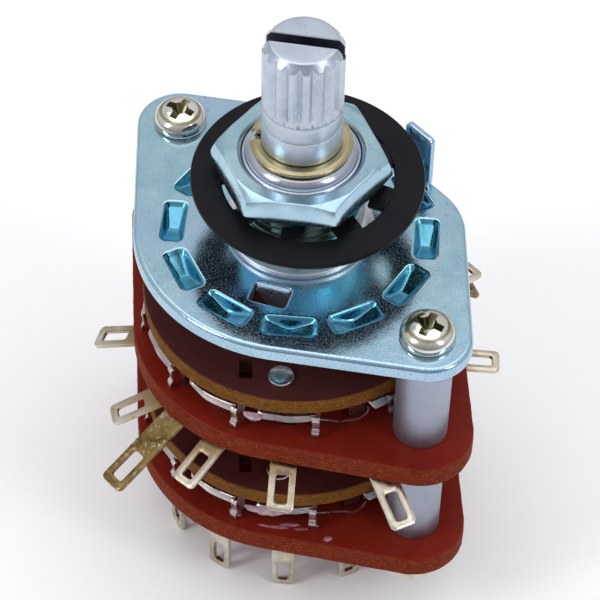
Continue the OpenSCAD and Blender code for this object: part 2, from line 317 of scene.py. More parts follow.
def track(r0, z0, steps, head=0.0):
    """A bent centre line in the plane of r and z. ("l", length) runs straight on, ("a", radius, degrees) turns down.
    Gives f(u, w) -> (r, z) and the whole length."""
    segs, u, x, z, h = [], 0.0, r0, z0, rad(head)
    for s in steps:
        if s[0] == "l":
            segs.append((u, u + s[1], x, z, h, 0.0))
            x += s[1] * math.cos(h)
            z += s[1] * math.sin(h)
            u += s[1]
        else:
            ang = rad(s[2])
            L, k = s[1] * abs(ang), -math.copysign(1.0 / s[1], ang)
            segs.append((u, u + L, x, z, h, k))
            h1 = h + k * L
            x += (math.sin(h1) - math.sin(h)) / k
            z -= (math.cos(h1) - math.cos(h)) / k
            u += L
            h = h1

    def f(q, w):
        for i, (a, b, x, z, h, k) in enumerate(segs):
            if q <= b or i == len(segs) - 1:
                d = q - a
                if k == 0.0:
                    px, pz, hh = x + d * math.cos(h), z + d * math.sin(h), h
                else:
                    hh = h + k * d
                    px = x + (math.sin(hh) - math.sin(h)) / k
                    pz = z - (math.cos(hh) - math.cos(h)) / k
                return px - w * math.sin(hh), pz + w * math.cos(hh)

    return f, u


def strip(sh, f, L, width, t, tip=0.3, foot=0.05, eye=None, edge=0.07, place=None, step=0.22, taper=None):
    """Sheet strip bent along f: rounded end, optional rectangular eye (from, to, width)."""
    flat = Shell()
    foot, tip = max(foot, edge * 1.4), max(tip, edge * 1.4)
    out = dense(fillet([(0, -width / 2), (L, -width / 2), (L, width / 2), (0, width / 2)], [foot, tip, tip, foot], 4), step)
    holes = []
    if eye:
        e0, e1, ew = eye
        holes.append(dense(rrect(e1 - e0, ew, 0.22, (e0 + e1) / 2, 0.0), step * 1.5))
    t0, b0 = rim(flat, out, 1, t / 2, -t / 2, edge, edge, 2)
    tops, bots = [], []
    for h in holes:
        a, b = rim(flat, h, -1, t / 2, -t / 2, edge, edge, 2)
        tops.append(a)
        bots.append(b)
    grid = []
    u = step
    while u < L - step * 0.7:
        for v in (-0.3, 0.0, 0.3):
            y = v * width
            if eye and e0 - 0.2 < u < e1 + 0.2 and abs(y) < ew / 2 + 0.16:
                continue
            grid.append((u, y))
        u += step
    gt = flat.add([(x, y, t / 2) for x, y in grid])
    gb = flat.add([(x, y, -t / 2) for x, y in grid])
    flat.fill(t0, tops, gt)
    flat.fill(b0, bots, gb)

    def fn(p):
        v = p[1]
        if taper:
            v *= taper(p[0] / L)
        r, z = f(p[0], p[2])
        return place(r, v, z)

    sh.join(flat, fn)


def polar(a, yaw=0.0, at=0.0):
    """Puts (r, v, z) at the angle a, turned by yaw about the radius at."""
    c, s = math.cos(rad(a)), math.sin(rad(a))
    cy, sy = math.cos(rad(yaw)), math.sin(rad(yaw))

    def fn(r, v, z):
        x, y = r - at, v
        x, y = at + x * cy - y * sy, x * sy + y * cy
        return (x * c - y * s, x * s + y * c, z)

    return fn


def finish_mesh(me, smooth):
    bm = bmesh.new()
    bm.from_mesh(me)
    bmesh.ops.remove_doubles(bm, verts=bm.verts, dist=2e-7)
    bmesh.ops.dissolve_degenerate(bm, edges=bm.edges, dist=1e-7)
    loose = [v for v in bm.verts if not v.link_faces]
    if loose:
        bmesh.ops.delete(bm, geom=loose, context="VERTS")
    bmesh.ops.recalc_face_normals(bm, faces=bm.faces)
    bm.to_mesh(me)
    bm.free()
    me.shade_smooth()
    me.set_sharp_from_angle(angle=rad(smooth))


def flat_normals(me, levels):
    """Keeps flat faces at these heights truly flat in shading, up to the first ring of their rolled edges."""
    n = len(me.loops)
    nor = np.zeros(n * 3, np.float32)
    me.corner_normals.foreach_get("vector", nor)
    nor = nor.reshape(-1, 3)
    vi = np.zeros(n, np.int32)
    me.loops.foreach_get("vertex_index", vi)
    co = np.zeros(len(me.vertices) * 3, np.float32)
    me.vertices.foreach_get("co", co)
    z = co.reshape(-1, 3)[vi, 2] / MM
    for level, up in levels:
        hit = (np.abs(z - level) < 0.002) & (nor[:, 2] * up > 0.6)
        nor[hit] = (0.0, 0.0, float(up))
    me.normals_split_custom_set([tuple(map(float, v)) for v in nor])


def make(name, sh, mats, body, replaces=(), smooth=32, pick=None, weighted=True, cutters=(), flats=None):
    me = bpy.data.meshes.new(name)
    me.from_pydata([(x * MM, y * MM, z * MM) for x, y, z in sh.v], [], sh.f)
    me.update()
    finish_mesh(me, smooth)
    ob = bpy.data.objects.new(name, me)
    bpy.context.scene.collection.objects.link(ob)
    for cut in cutters:
        cme = bpy.data.meshes.new("cutter")
        cme.from_pydata([(x * MM, y * MM, z * MM) for x, y, z in cut.v], [], cut.f)
        finish_mesh(cme, 32)
        cob = bpy.data.objects.new("cutter", cme)
        bpy.context.scene.collection.objects.link(cob)
        mod = ob.modifiers.new("cut", "BOOLEAN")
        mod.object, mod.operation, mod.solver = cob, "DIFFERENCE", "EXACT"
        dg = bpy.context.evaluated_depsgraph_get()
        new = bpy.data.meshes.new_from_object(ob.evaluated_get(dg))
        ob.modifiers.clear()
        ob.data = new
        bpy.data.objects.remove(cob)
        bpy.data.meshes.remove(cme)
        finish_mesh(ob.data, smooth)
    ob.data.name = name
    mats = mats if isinstance(mats, (list, tuple)) else [mats]
    ob.data.materials.clear()
    for m in mats:
        ob.data.materials.append(m)
    if pick:
        for p in ob.data.polygons:
            p.material_index = pick(p.center / MM, p.normal)
    if flats:
        flat_normals(ob.data, flats)
    elif weighted:
        w = ob.modifiers.new("normals", "WEIGHTED_NORMAL")
        w.keep_sharp = True
        w.weight = 60
    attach(ob, body)
    if replaces:
        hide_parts(*replaces)
    return ob


# ---- materials --------------------------------------------------------------------
class Mat:
    """A Principled material whose colour, roughness and bump come from nodes in object space."""

    def __init__(self, name, **sockets):
        self.m = bpy.data.materials.new(name)
        self.m.use_nodes = True
        self.t = self.m.node_tree
        self.t.nodes.clear()
        out = self.t.nodes.new("ShaderNodeOutputMaterial")
        self.p = self.t.nodes.new("ShaderNodeBsdfPrincipled")
        self.t.links.new(self.p.outputs["BSDF"], out.inputs["Surface"])
        for k, v in sockets.items():
            self.p.inputs[k.replace("_", " ")].default_value = v
        self.co = self.t.nodes.new("ShaderNodeTexCoord").outputs["Object"]
        self.last_bump = None

    def node(self, kind, **props):
        n = self.t.nodes.new(kind)
        for k, v in props.items():
            setattr(n, k, v)
        return n

    def put(self, sock, value):
        if isinstance(value, bpy.types.NodeSocket):
            self.t.links.new(value, sock)
        else:
            sock.default_value = value

    def scaled(self, s):
        n = self.node("ShaderNodeVectorMath", operation="MULTIPLY")
        self.t.links.new(self.co, n.inputs[0])
        n.inputs[1].default_value = s
        return n.outputs[0]

    def noise(self, scale, detail=2.0, rough=0.5, stretch=None, dist=0.0, vec=None):
        n = self.node("ShaderNodeTexNoise")
        n.inputs["Scale"].default_value = scale
        n.inputs["Detail"].default_value = detail
        n.inputs["Roughness"].default_value = rough
        n.inputs["Distortion"].default_value = dist
        src = vec or (self.scaled(stretch) if stretch else self.co)
        self.t.links.new(src, n.inputs["Vector"])
        return n.outputs["Fac"]

    def range(self, fac, a, b, c=0.0, d=1.0, smooth=False):
        n = self.node("ShaderNodeMapRange", interpolation_type="SMOOTHSTEP" if smooth else "LINEAR")
        self.put(n.inputs["Value"], fac)
        for k, v in zip(("From Min", "From Max", "To Min", "To Max"), (a, b, c, d)):
            n.inputs[k].default_value = v
        return n.outputs["Result"]

    def math(self, op, a, b=0.0, clamp=False):
        n = self.node("ShaderNodeMath", operation=op, use_clamp=clamp)
        self.put(n.inputs[0], a)
        self.put(n.inputs[1], b)
        return n.outputs[0]

    def mix(self, fac, a, b):
        n = self.node("ShaderNodeMix", data_type="RGBA")
        self.put(n.inputs[0], fac)
        self.put(n.inputs[6], (*a, 1.0) if isinstance(a, tuple) else a)
        self.put(n.inputs[7], (*b, 1.0) if isinstance(b, tuple) else b)
        return n.outputs[2]

    def xyz(self):
        n = self.node("ShaderNodeSeparateXYZ")
        self.t.links.new(self.co, n.inputs[0])
        return n.outputs

    def radius(self):
        """Distance from the Z axis, and a vector (radius, 0, z) for turning marks."""
        o = self.xyz()
        r = self.math("SQRT", self.math("ADD", self.math("MULTIPLY", o[0], o[0]), self.math("MULTIPLY", o[1], o[1])))
        c = self.node("ShaderNodeCombineXYZ")
        self.t.links.new(r, c.inputs[0])
        self.t.links.new(o[2], c.inputs[2])
        return r, c.outputs[0]

    def normal_z(self):
        g = self.node("ShaderNodeNewGeometry")
        s = self.node("ShaderNodeSeparateXYZ")
        self.t.links.new(g.outputs["Normal"], s.inputs[0])
        return s.outputs[2]

    def color(self, c):
        self.put(self.p.inputs["Base Color"], (*c, 1.0) if isinstance(c, tuple) else c)

    def rough(self, r):
        self.put(self.p.inputs["Roughness"], r)

    def bump(self, height, distance, strength=1.0):
        n = self.node("ShaderNodeBump")
        n.inputs["Strength"].default_value = strength
        n.inputs["Distance"].default_value = distance
        self.t.links.new(height, n.inputs["Height"])
        if self.last_bump:
            self.t.links.new(self.last_bump, n.inputs["Normal"])
        self.last_bump = n.outputs["Normal"]
        self.t.links.new(self.last_bump, self.p.inputs["Normal"])


def zinc(name, a, b, c, rough, grain, dots=0.0):
    """Blue zinc plating: pale blue mirror with fine grain and faint violet clouds."""
    m = Mat(name, Metallic=1.0)
    col = m.mix(m.range(m.noise(260, 4, 0.6), 0.38, 0.64), a, b)
    col = m.mix(m.range(m.noise(75, 2), 0.45, 0.72, 0.0, 0.75), col, c)
    speck = m.range(m.noise(7500, 2, 0.6), 0.60, 0.70)
    pits = m.range(m.noise(2300, 3, 0.7), 0.30, 0.37, 1.0, 0.0)
    col = m.mix(m.math("MULTIPLY", pits, 0.55), col, (0.16, 0.22, 0.27))
    dull = m.math("MULTIPLY", m.range(m.noise(8200, 2, 0.65), 0.54, 0.65), dots)
    col = m.mix(dull, col, (0.10, 0.31, 0.54))
    m.color(col)
    m.put(m.p.inputs["Metallic"], m.math("SUBTRACT", 1.0, dull))
    r = m.range(m.noise(900, 3), 0.3, 0.7, rough * 0.75, rough * 1.35)
    m.rough(m.math("ADD", r, m.math("MULTIPLY", speck, 0.10)))
    m.bump(m.noise(8500, 2, 0.6), grain)
    m.bump(m.noise(900, 2), grain * 1.5)
    return m.m


M_PLATE = zinc("zinc_sheet", (0.34, 0.54, 0.64), (0.44, 0.62, 0.71), (0.42, 0.54, 0.76), 0.13, 6.0e-6, dots=0.46)
# painted shade: the pressed pockets get a darker, more saturated copy of the plate zinc, standing in for the dark
# reflections in their hollows
M_POCKET_SHADED = zinc("zinc_pressed", (0.08, 0.34, 0.45), (0.16, 0.45, 0.58), (0.14, 0.38, 0.58), 0.15, 5.0e-6, dots=0.30)
M_NUT = zinc("zinc_nut", (0.33, 0.52, 0.60), (0.46, 0.64, 0.71), (0.40, 0.54, 0.72), 0.16, 2.2e-6)
M_NUT_SIDE = zinc("zinc_nut_side", (0.34, 0.54, 0.64), (0.48, 0.66, 0.74), (0.44, 0.56, 0.78), 0.18, 3.0e-6)
M_ARM = zinc("zinc_arm", (0.45, 0.58, 0.64), (0.58, 0.69, 0.74), (0.55, 0.62, 0.72), 0.24, 1.6e-6)


def turned(name, a, b, rough, marks, metallic=1.0, spots=0.0):
    """Turned metal: fine rings round the Z axis over a soft colour variation."""
    m = Mat(name, Metallic=metallic)
    _, vec = m.radius()
    rings = m.noise(14000, 2, 0.6, vec=vec)
    wide = m.noise(2600, 2, 0.5, vec=vec)
    col = m.mix(m.range(m.noise(420, 3), 0.35, 0.68), a, b)
    if spots:
        s = m.range(m.noise(3300, 3, 0.7), 0.31, 0.37, 1.0, 0.0)
        col = m.mix(m.math("MULTIPLY", s, spots), col, (0.22, 0.23, 0.27))
    m.color(col)
    m.rough(m.range(wide, 0.3, 0.7, rough * 0.8, rough * 1.25))
    m.bump(rings, marks)
    m.bump(wide, marks * 2.0)
    m.bump(m.noise(5200, 2, 0.6), marks * 0.8)
    return m.m


M_BUSH = turned("bushing_metal", (0.72, 0.75, 0.80), (0.84, 0.86, 0.89), 0.38, 1.8e-6, spots=0.3)
# painted light: the thread gets two copies of the bushing metal in place of one, a bright teal lit copy and a
# near-black shaded copy
M_THREAD = turned("thread_metal", (0.20, 0.66, 0.78), (0.34, 0.78, 0.88), 0.32, 2.0e-6, spots=0.4)
M_THREAD_SHADED = turned("thread_dark", (0.05, 0.09, 0.08), (0.11, 0.16, 0.14), 0.30, 2.0e-6, spots=0.4)
# painted shade: the nose ring gets a darker copy of the bushing metal, toning down the bright band it reflects
M_NOSE_SHADED = turned("bushing_nose", (0.44, 0.46, 0.54), (0.56, 0.58, 0.65), 0.20, 1.8e-6, spots=0.3)
M_SHAFT = turned("shaft_metal", (0.47, 0.53, 0.61), (0.57, 0.63, 0.71), 0.33, 2.4e-6, spots=0.55)
# painted shade: near-black copy of the shaft metal for the walls and floor of the screwdriver slot
M_SLOT_SHADE = turned("slot_metal", (0.07, 0.07, 0.11), (0.13, 0.13, 0.18), 0.5, 4.0e-6, spots=0.3)
M_SLEEVE = turned("sleeve_metal", (0.58, 0.60, 0.64), (0.68, 0.70, 0.73), 0.36, 2.0e-6, spots=0.3)
M_CLIP = turned("clip_brass", (0.36, 0.31, 0.17), (0.52, 0.46, 0.29), 0.26, 1.8e-6, spots=0.35)


def brushed_grey(name, a, b, rough, bump):
    """Matte drawn aluminium with lengthwise streaks and small pits."""
    m = Mat(name, Metallic=1.0)
    streak = m.noise(2600, 3, 0.6, stretch=(1.0, 1.0, 0.06))
    cloud = m.noise(380, 3, 0.6)
    col = m.mix(m.range(cloud, 0.3, 0.7), a, b)
    col = m.mix(m.range(streak, 0.35, 0.75, 0.0, 0.35), col, (0.42, 0.45, 0.55))
    pits = m.range(m.noise(3600, 2, 0.6), 0.28, 0.34, 1.0, 0.0)
    col = m.mix(m.math("MULTIPLY", pits, 0.5), col, (0.25, 0.27, 0.32))
    m.color(col)
    m.rough(m.range(cloud, 0.3, 0.7, rough * 0.85, rough * 1.15))
    m.bump(streak, bump)
    m.bump(m.noise(7000, 2, 0.6), bump * 0.7)
    return m.m


M_TUBE = brushed_grey("tube_aluminium", (0.33, 0.36, 0.45), (0.43, 0.46, 0.54), 0.50, 7e-6)


def nickel(name, a, b, dull, rough, stain=None):
    """Bright nickel with yellowish clouds and a little grime."""
    m = Mat(name, Metallic=1.0)
    col = m.mix(m.range(m.noise(520, 3), 0.35, 0.68), a, b)
    g = m.range(m.noise(1400, 4, 0.65), 0.56, 0.70)
    col = m.mix(m.math("MULTIPLY", g, 0.55), col, dull)
    if stain:
        r, _ = m.radius()
        edge = m.math("ADD", r, m.math("MULTIPLY", m.math("SUBTRACT", m.noise(700, 3), 0.5), 0.0016))
        near = m.range(edge, 0.0127, 0.0160, 0.85, 0.0, True)
        up = m.range(m.xyz()[2], -0.0228, -0.0222)
        col = m.mix(m.math("MULTIPLY", near, up), col, stain)
    m.color(col)
    m.rough(m.math("ADD", m.range(m.noise(900, 3), 0.3, 0.7, rough * 0.7, rough * 1.4), m.math("MULTIPLY", g, 0.14)))
    m.bump(m.noise(2400, 3, 0.6), 1.6e-6)
    return m.m


M_SCREW = nickel("screw_nickel", (0.62, 0.60, 0.53), (0.78, 0.76, 0.70), (0.30, 0.26, 0.15), 0.15)
# painted shade: dark copy of the screw nickel for the cross recess
M_RECESS_SHADE = nickel("recess_nickel", (0.22, 0.20, 0.12), (0.42, 0.39, 0.28), (0.14, 0.12, 0.06), 0.28)
M_RIVET = nickel("rivet_nickel", (0.68, 0.68, 0.66), (0.80, 0.80, 0.78), (0.40, 0.38, 0.34), 0.17)
M_LUG = nickel("lug_silver", (0.51, 0.44, 0.33), (0.75, 0.70, 0.63), (0.30, 0.22, 0.11), 0.27, stain=(0.24, 0.145, 0.05))
M_RIBBON = nickel("contact_silver", (0.46, 0.38, 0.38), (0.64, 0.57, 0.56), (0.26, 0.16, 0.12), 0.30)
M_BLADE = nickel("blade_silver", (0.70, 0.67, 0.60), (0.82, 0.80, 0.76), (0.42, 0.36, 0.26), 0.25)


def tarnished():
    """Old brass, dark brown in clouds and bare along the worn parts."""
    m = Mat("tarnished_brass", Metallic=1.0)
    n = m.noise(620, 5, 0.68, dist=0.6)
    col = m.mix(m.range(n, 0.36, 0.58), (0.095, 0.056, 0.018), (0.250, 0.168, 0.064))
    worn = m.range(m.noise(2300, 4, 0.7), 0.55, 0.66)
    col = m.mix(m.math("MULTIPLY", worn, 0.55), col, (0.62, 0.56, 0.42))
    m.color(col)
    m.rough(m.range(n, 0.3, 0.7, 0.42, 0.24))
    m.bump(m.noise(2600, 4, 0.7), 8e-6)
    return m.m


M_BRASS = tarnished()


def black_oxide():
    """Black oxide: satin black with faint blue sheen, dust specks and handling marks."""
    m = Mat("black_oxide", Metallic=0.0, IOR=1.22)
    col = m.mix(m.range(m.noise(500, 4, 0.6), 0.35, 0.7), (0.0040, 0.0040, 0.0065), (0.0065, 0.0065, 0.0095))
    dust = m.range(m.noise(5200, 3, 0.75), 0.745, 0.77)
    col = m.mix(dust, col, (0.20, 0.20, 0.20))
    m.color(col)
    m.rough(m.range(m.noise(1300, 4, 0.6), 0.3, 0.7, 0.34, 0.46))
    m.bump(m.noise(6500, 3, 0.7), 2.2e-6)
    return m.m


M_BLACK = black_oxide()


def phenolic(name, face_a, face_b, edge_a, edge_b, edge_c, rough=0.22):
    """Paper phenolic: lacquered faces and punched edges of layered brown fibre."""
    m = Mat(name, Metallic=0.0, IOR=1.17)
    face = m.mix(m.range(m.noise(160, 4, 0.6), 0.3, 0.7), face_a, face_b)
    fleck = m.range(m.noise(2600, 3, 0.7), 0.66, 0.74)
    face = m.mix(m.math("MULTIPLY", fleck, 0.35), face, edge_b)
    layer = m.noise(1500, 4, 0.7, stretch=(1.0, 1.0, 2.6))
    fine = m.noise(5200, 3, 0.75, stretch=(1.0, 1.0, 1.5))
    edge = m.mix(m.range(layer, 0.32, 0.66), edge_a, edge_b)
    edge = m.mix(m.range(fine, 0.54, 0.72, 0.0, 0.8), edge, edge_c)
    nz = m.math("ABSOLUTE", m.normal_z())
    side = m.range(nz, 0.55, 0.80, 1.0, 0.0, True)
    m.color(m.mix(side, face, edge))
    base = m.range(m.noise(700, 4, 0.6), 0.3, 0.7, rough * 0.8, rough * 1.3)
    m.rough(m.math("ADD", base, m.math("MULTIPLY", side, 0.45), clamp=True))
    m.bump(m.math("MULTIPLY", m.math("ADD", layer, fine), side), 4.5e-5)
    m.bump(m.noise(1100, 3), 2.5e-6)
    return m.m


M_BOARD = phenolic("board_phenolic", (0.155, 0.0108, 0.0066), (0.215, 0.0190, 0.0092), (0.12, 0.009, 0.004), (0.20, 0.025, 0.006), (0.42, 0.125, 0.02))
M_DISC = phenolic("disc_phenolic", (0.072, 0.0180, 0.0165), (0.084, 0.0205, 0.0185), (0.105, 0.034, 0.006), (0.20, 0.080, 0.013), (0.40, 0.20, 0.045), rough=0.30)
# painted shade: darker copy of the disc phenolic for the walls of its holes and slots
M_DISC_HOLE_SHADE = phenolic("disc_cut", (0.045, 0.0050, 0.0040), (0.060, 0.0070, 0.0055), (0.040, 0.010, 0.0045), (0.080, 0.024, 0.008), (0.16, 0.06, 0.02), rough=0.35)


def grease(name, a, b, rough, alpha):
    m = Mat(name, Metallic=0.0, Coat_Weight=0.5, Coat_Roughness=0.1)
    m.p.inputs["Subsurface Weight"].default_value = 0.25
    m.p.inputs["Subsurface Scale"].default_value = 0.0003
    m.color(m.mix(m.range(m.noise(1500, 3), 0.35, 0.7), a, b))
    m.rough(m.range(m.noise(1800, 3), 0.3, 0.7, rough * 0.7, rough * 1.3))
    m.bump(m.noise(2200, 3, 0.6), 2.0e-5)
    return m.m


M_GREASE = grease("grease_white", (0.30, 0.14, 0.17), (0.54, 0.45, 0.50), 0.16, 1.0)
M_SMEAR = grease("grease_red", (0.30, 0.06, 0.07), (0.50, 0.27, 0.31), 0.14, 1.0)

# ---- carried-over CAD nodes ----------------------------------------------------------
for node, mat in {
    "detent_arm": M_ARM, "upper_sleeve": M_SLEEVE, "lower_sleeve": M_SLEEVE, "end_clip": M_SLEEVE,
    "upper_rotor_blades": M_BLADE, "lower_rotor_blades": M_BLADE,
}.items():
    ob = NODES[node]
    for s in ob.material_slots:
        s.material = mat


# ---- index plate ---------------------------------------------------------------------
def index_plate():
    sh = Shell()
    flat = clip_half(lozenge(PLATE_R, PLATE_RE, HALF, 36, 60), 0.0, 1.0, 10.9)
    # soften the two corners of the cut at the back
    ends = [p for p in flat if abs(p[1] - 10.9) < 1e-6]
    ends = [min(ends), max(ends)]
    arm = 1.9
    soft, done = [], set()
    for i, p in enumerate(flat):
        near = [e for e in ends if math.dist(p, e) < arm]
        if not near:
            soft.append(p)
            continue
        e = near[0]
        if e in done:
            continue
        done.add(e)
        far = [q for q in (flat[(i + k) % len(flat)] for k in range(len(flat))) if math.dist(q, e) >= arm][0]
        u, w = np.array(soft[-1]) - np.array(e), np.array(far) - np.array(e)
        u, w = u / np.linalg.norm(u) * (arm - 0.05), w / np.linalg.norm(w) * (arm - 0.05)
        for t in (0.0, 0.14, 0.28, 0.43, 0.57, 0.72, 0.86, 1.0):
            q = np.array(e) + u * (1 - t) ** 2 + w * t ** 2
            soft.append((float(q[0]), float(q[1])))
    outer = dense(soft, 0.45)
    top, bot = rim(sh, outer, 1, 0.0, -PLATE_T, 0.40, 0.10, 6)
    holes_t, holes_b = [], []
    window = rrect(2.0, 2.9, 0.3, 7.4, 0.0, 0.0, 4)
    for loop, rr in (
        (circle(4.8, 72), 0.05),
        (circle(1.25, 32, HALF, 0), 0.05),
        (circle(1.25, 32, -HALF, 0), 0.05),
        (turn(dense(window, 0.3), -57.7), 0.16),
    ):
        t, b = rim(sh, loop, -1, 0.0, -PLATE_T, rr, 0.05, 4)
        holes_t.append(t)
        holes_b.append(b)
    # pressed detents: a valley of two ramps between steep side walls
    rim_loop = dense(rrect(1.86, 4.16, 0.50, seg=6), 0.14)

    def depth(x, y):
        side = (0.80 - abs(x)) * 2.6
        ramp = 0.94 - math.hypot(y, 0.42) * 0.42
        end = (1.99 - abs(y)) * 2.2
        k = 0.13
        s = math.exp(-side / k) + math.exp(-ramp / k) + math.exp(-end / k)
        return max(0.0, -k * math.log(s)) + 0.07

    for k in range(12):
        a = 15 + 30 * k
        place = lambda x, y: turn([(x + 9.65, y)], a, *POCKET_C)[0]
        rows = []
        for d, z in ((-0.16, 0.0), (-0.09, -0.006), (-0.02, -0.022), (0.05, -0.055), (0.10, -0.105)):
            rows.append(sh.add([(*place(x, y), z) for x, y in offset(rim_loop, d)]))
        sh.stack(rows)
        holes_t.append(rows[0])
        grid = []
        for i in range(-8, 9):
            for j in range(-20, 21):
                x, y = i * 0.0945, j * 0.0945
                if abs(x) > 0.77 or abs(y) > 1.92 or (abs(x) > 0.55 and abs(y) > 1.70):
                    continue
                grid.append((*place(x, y), -depth(x, y) - 0.05))
        sh.fill(rows[-1], (), sh.add(grid))
        # the same valley seen from below
        low = dense(rrect(1.9, 4.1, 0.66, seg=5), 0.25)
        rows = []
        for d, z in ((0.0, -PLATE_T), (0.12, -PLATE_T - 0.10), (0.30, -PLATE_T - 0.34), (0.42, -PLATE_T - 0.46), (0.52, -PLATE_T - 0.5)):
            rows.append(sh.add([(*place(x, y), z) for x, y in offset(low, d)]))
        sh.stack(rows)
        holes_b.append(rows[0])
        sh.fill(rows[-1])
    sh.fill(top, holes_t)
    sh.fill(bot, holes_b)
    # locating tab, bent up from the cut edge
    f, L = track(9.5, -0.29, (("l", 0.525), ("a", 0.60, -90), ("l", 4.39)))
    strip(sh, f, L, 2.9, 0.54, tip=0.42, edge=0.13, place=lambda r, v, z: (1.70 + v, r, z), step=0.2)
    # faces in the pressed pockets take the darker zinc copy (index 1): painted shade in the hollows
    pick = lambda c, n: 1 if abs(math.hypot(c.x - POCKET_C[0], c.y - POCKET_C[1]) - 9.65) < 1.05 and -1.1 < c.z < -0.03 and math.hypot(c.x, c.y) < 11.2 and c.y < 10.5 else 0
    return make("index_plate_pressed", sh, [M_PLATE, M_POCKET_SHADED], "frame", ["index_plate"], smooth=58, pick=pick,
                flats=[(0.0, 1), (-PLATE_T, -1)])


index_plate()


# ---- bushing, clip, nut, washer -------------------------------------------------------
def saw(x):
    x = x - math.floor(x)
    return 1 - abs(2 * x - 1)


def bushing():
    sh = Shell()
    prof = [(3.05, -1.8), (4.94, -1.8), (5.02, -1.72), (5.28, -1.24), (5.2, -1.2), (4.8, -1.2), (4.8, 0.0), (5.58, 0.0), (5.66, 0.02), (5.70, 0.08),
            (5.70, 0.48), (5.68, 0.56), (5.63, 0.62), (5.54, 0.65), (5.10, 0.65), (5.03, 0.68), (5.0, 0.75), (5.0, 1.56), (4.97, 1.64), (4.90, 1.69), (4.8, 1.70),
            (4.3, 1.70), (4.16, 1.74), (4.1, 1.82), (4.1, 2.16)]
    z = 2.2
    while z < 7.42:
        prof.append((4.5, z))
        z += 0.75 / 8
    prof += [(4.40, 7.44), (4.45, 7.50), (4.465, 7.58), (4.465, 7.80), (4.45, 7.90), (4.42, 7.96), (4.37, 7.99), (4.30, 8.0), (4.26, 8.01), (4.245, 8.06), (4.23, 8.16), (4.19, 8.28), (4.12, 8.40), (4.03, 8.51), (3.92, 8.61), (3.80, 8.69), (3.65, 8.745), (3.48, 8.77), (3.2, 8.77), (3.1, 8.74), (3.05, 8.66), (3.05, 7.9)]

    def wave(r, z, a):
        if 2.19 < z < 7.425:
            run = min(1.0, (z - 2.15) / 0.45, (7.50 - z) / 0.35)
            t = saw(z / 0.75 - a / (2 * math.pi))
            return r - 0.40 * (1 - min(1.0, t * 1.12)) * max(0.0, run), z
        return r, z

    lathe(sh, prof, 128, closed=True, wave=wave)
    # upward thread faces above z 2.6, under the washer, take the near-black copy (index 2) as painted shade; the other
    # thread faces take the teal lit copy (index 1); the nose takes the darker nose copy (index 3)
    pick = lambda c, n: 3 if c.z > 7.45 else 0 if c.z < 1.72 or math.hypot(c.x, c.y) < 3.6 else 2 if c.z > 2.6 and n.z > 0.05 else 1
    return make("bushing_threaded", sh, [M_BUSH, M_THREAD, M_THREAD_SHADED, M_NOSE_SHADED], "frame", ["bushing"], smooth=34, pick=pick)


bushing()


def shaft_clip():
    """Split brass ring: rounded section, its two ends slightly splayed."""
    sh = Shell()
    sec = fillet([(2.62, 8.92), (3.80, 8.92), (3.84, 9.22), (3.46, 9.36), (2.62, 9.34)], [0.05, 0.14, 0.16, 0.30, 0.05], 5)
    n = 110
    gap = math.degrees(0.52 / 3.4)
    rows = []
    for i in range(n + 1):
        t = i / n
        a = rad(-137 + gap + (360 - 2 * gap) * t)
        end = max(0.0, 1 - min(t, 1 - t) / 0.045)
        pts = []
        for r, z in sec:
            rr = r + 0.05 * end * end + 0.012 * math.sin(a * 3)
            zz = z + 0.10 * end * (1 if t > 0.5 else -0.4) * (z - 8.9)
            pts.append((rr * math.cos(a), rr * math.sin(a), zz))
        rows.append(sh.add(pts))
    sh.stack(rows)
    sh.f.append(tuple(rows[0]))
    sh.f.append(tuple(rows[-1]))
    return make("shaft_clip_ring", sh, M_CLIP, "rotor", ["shaft_clip"], smooth=38)


shaft_clip()


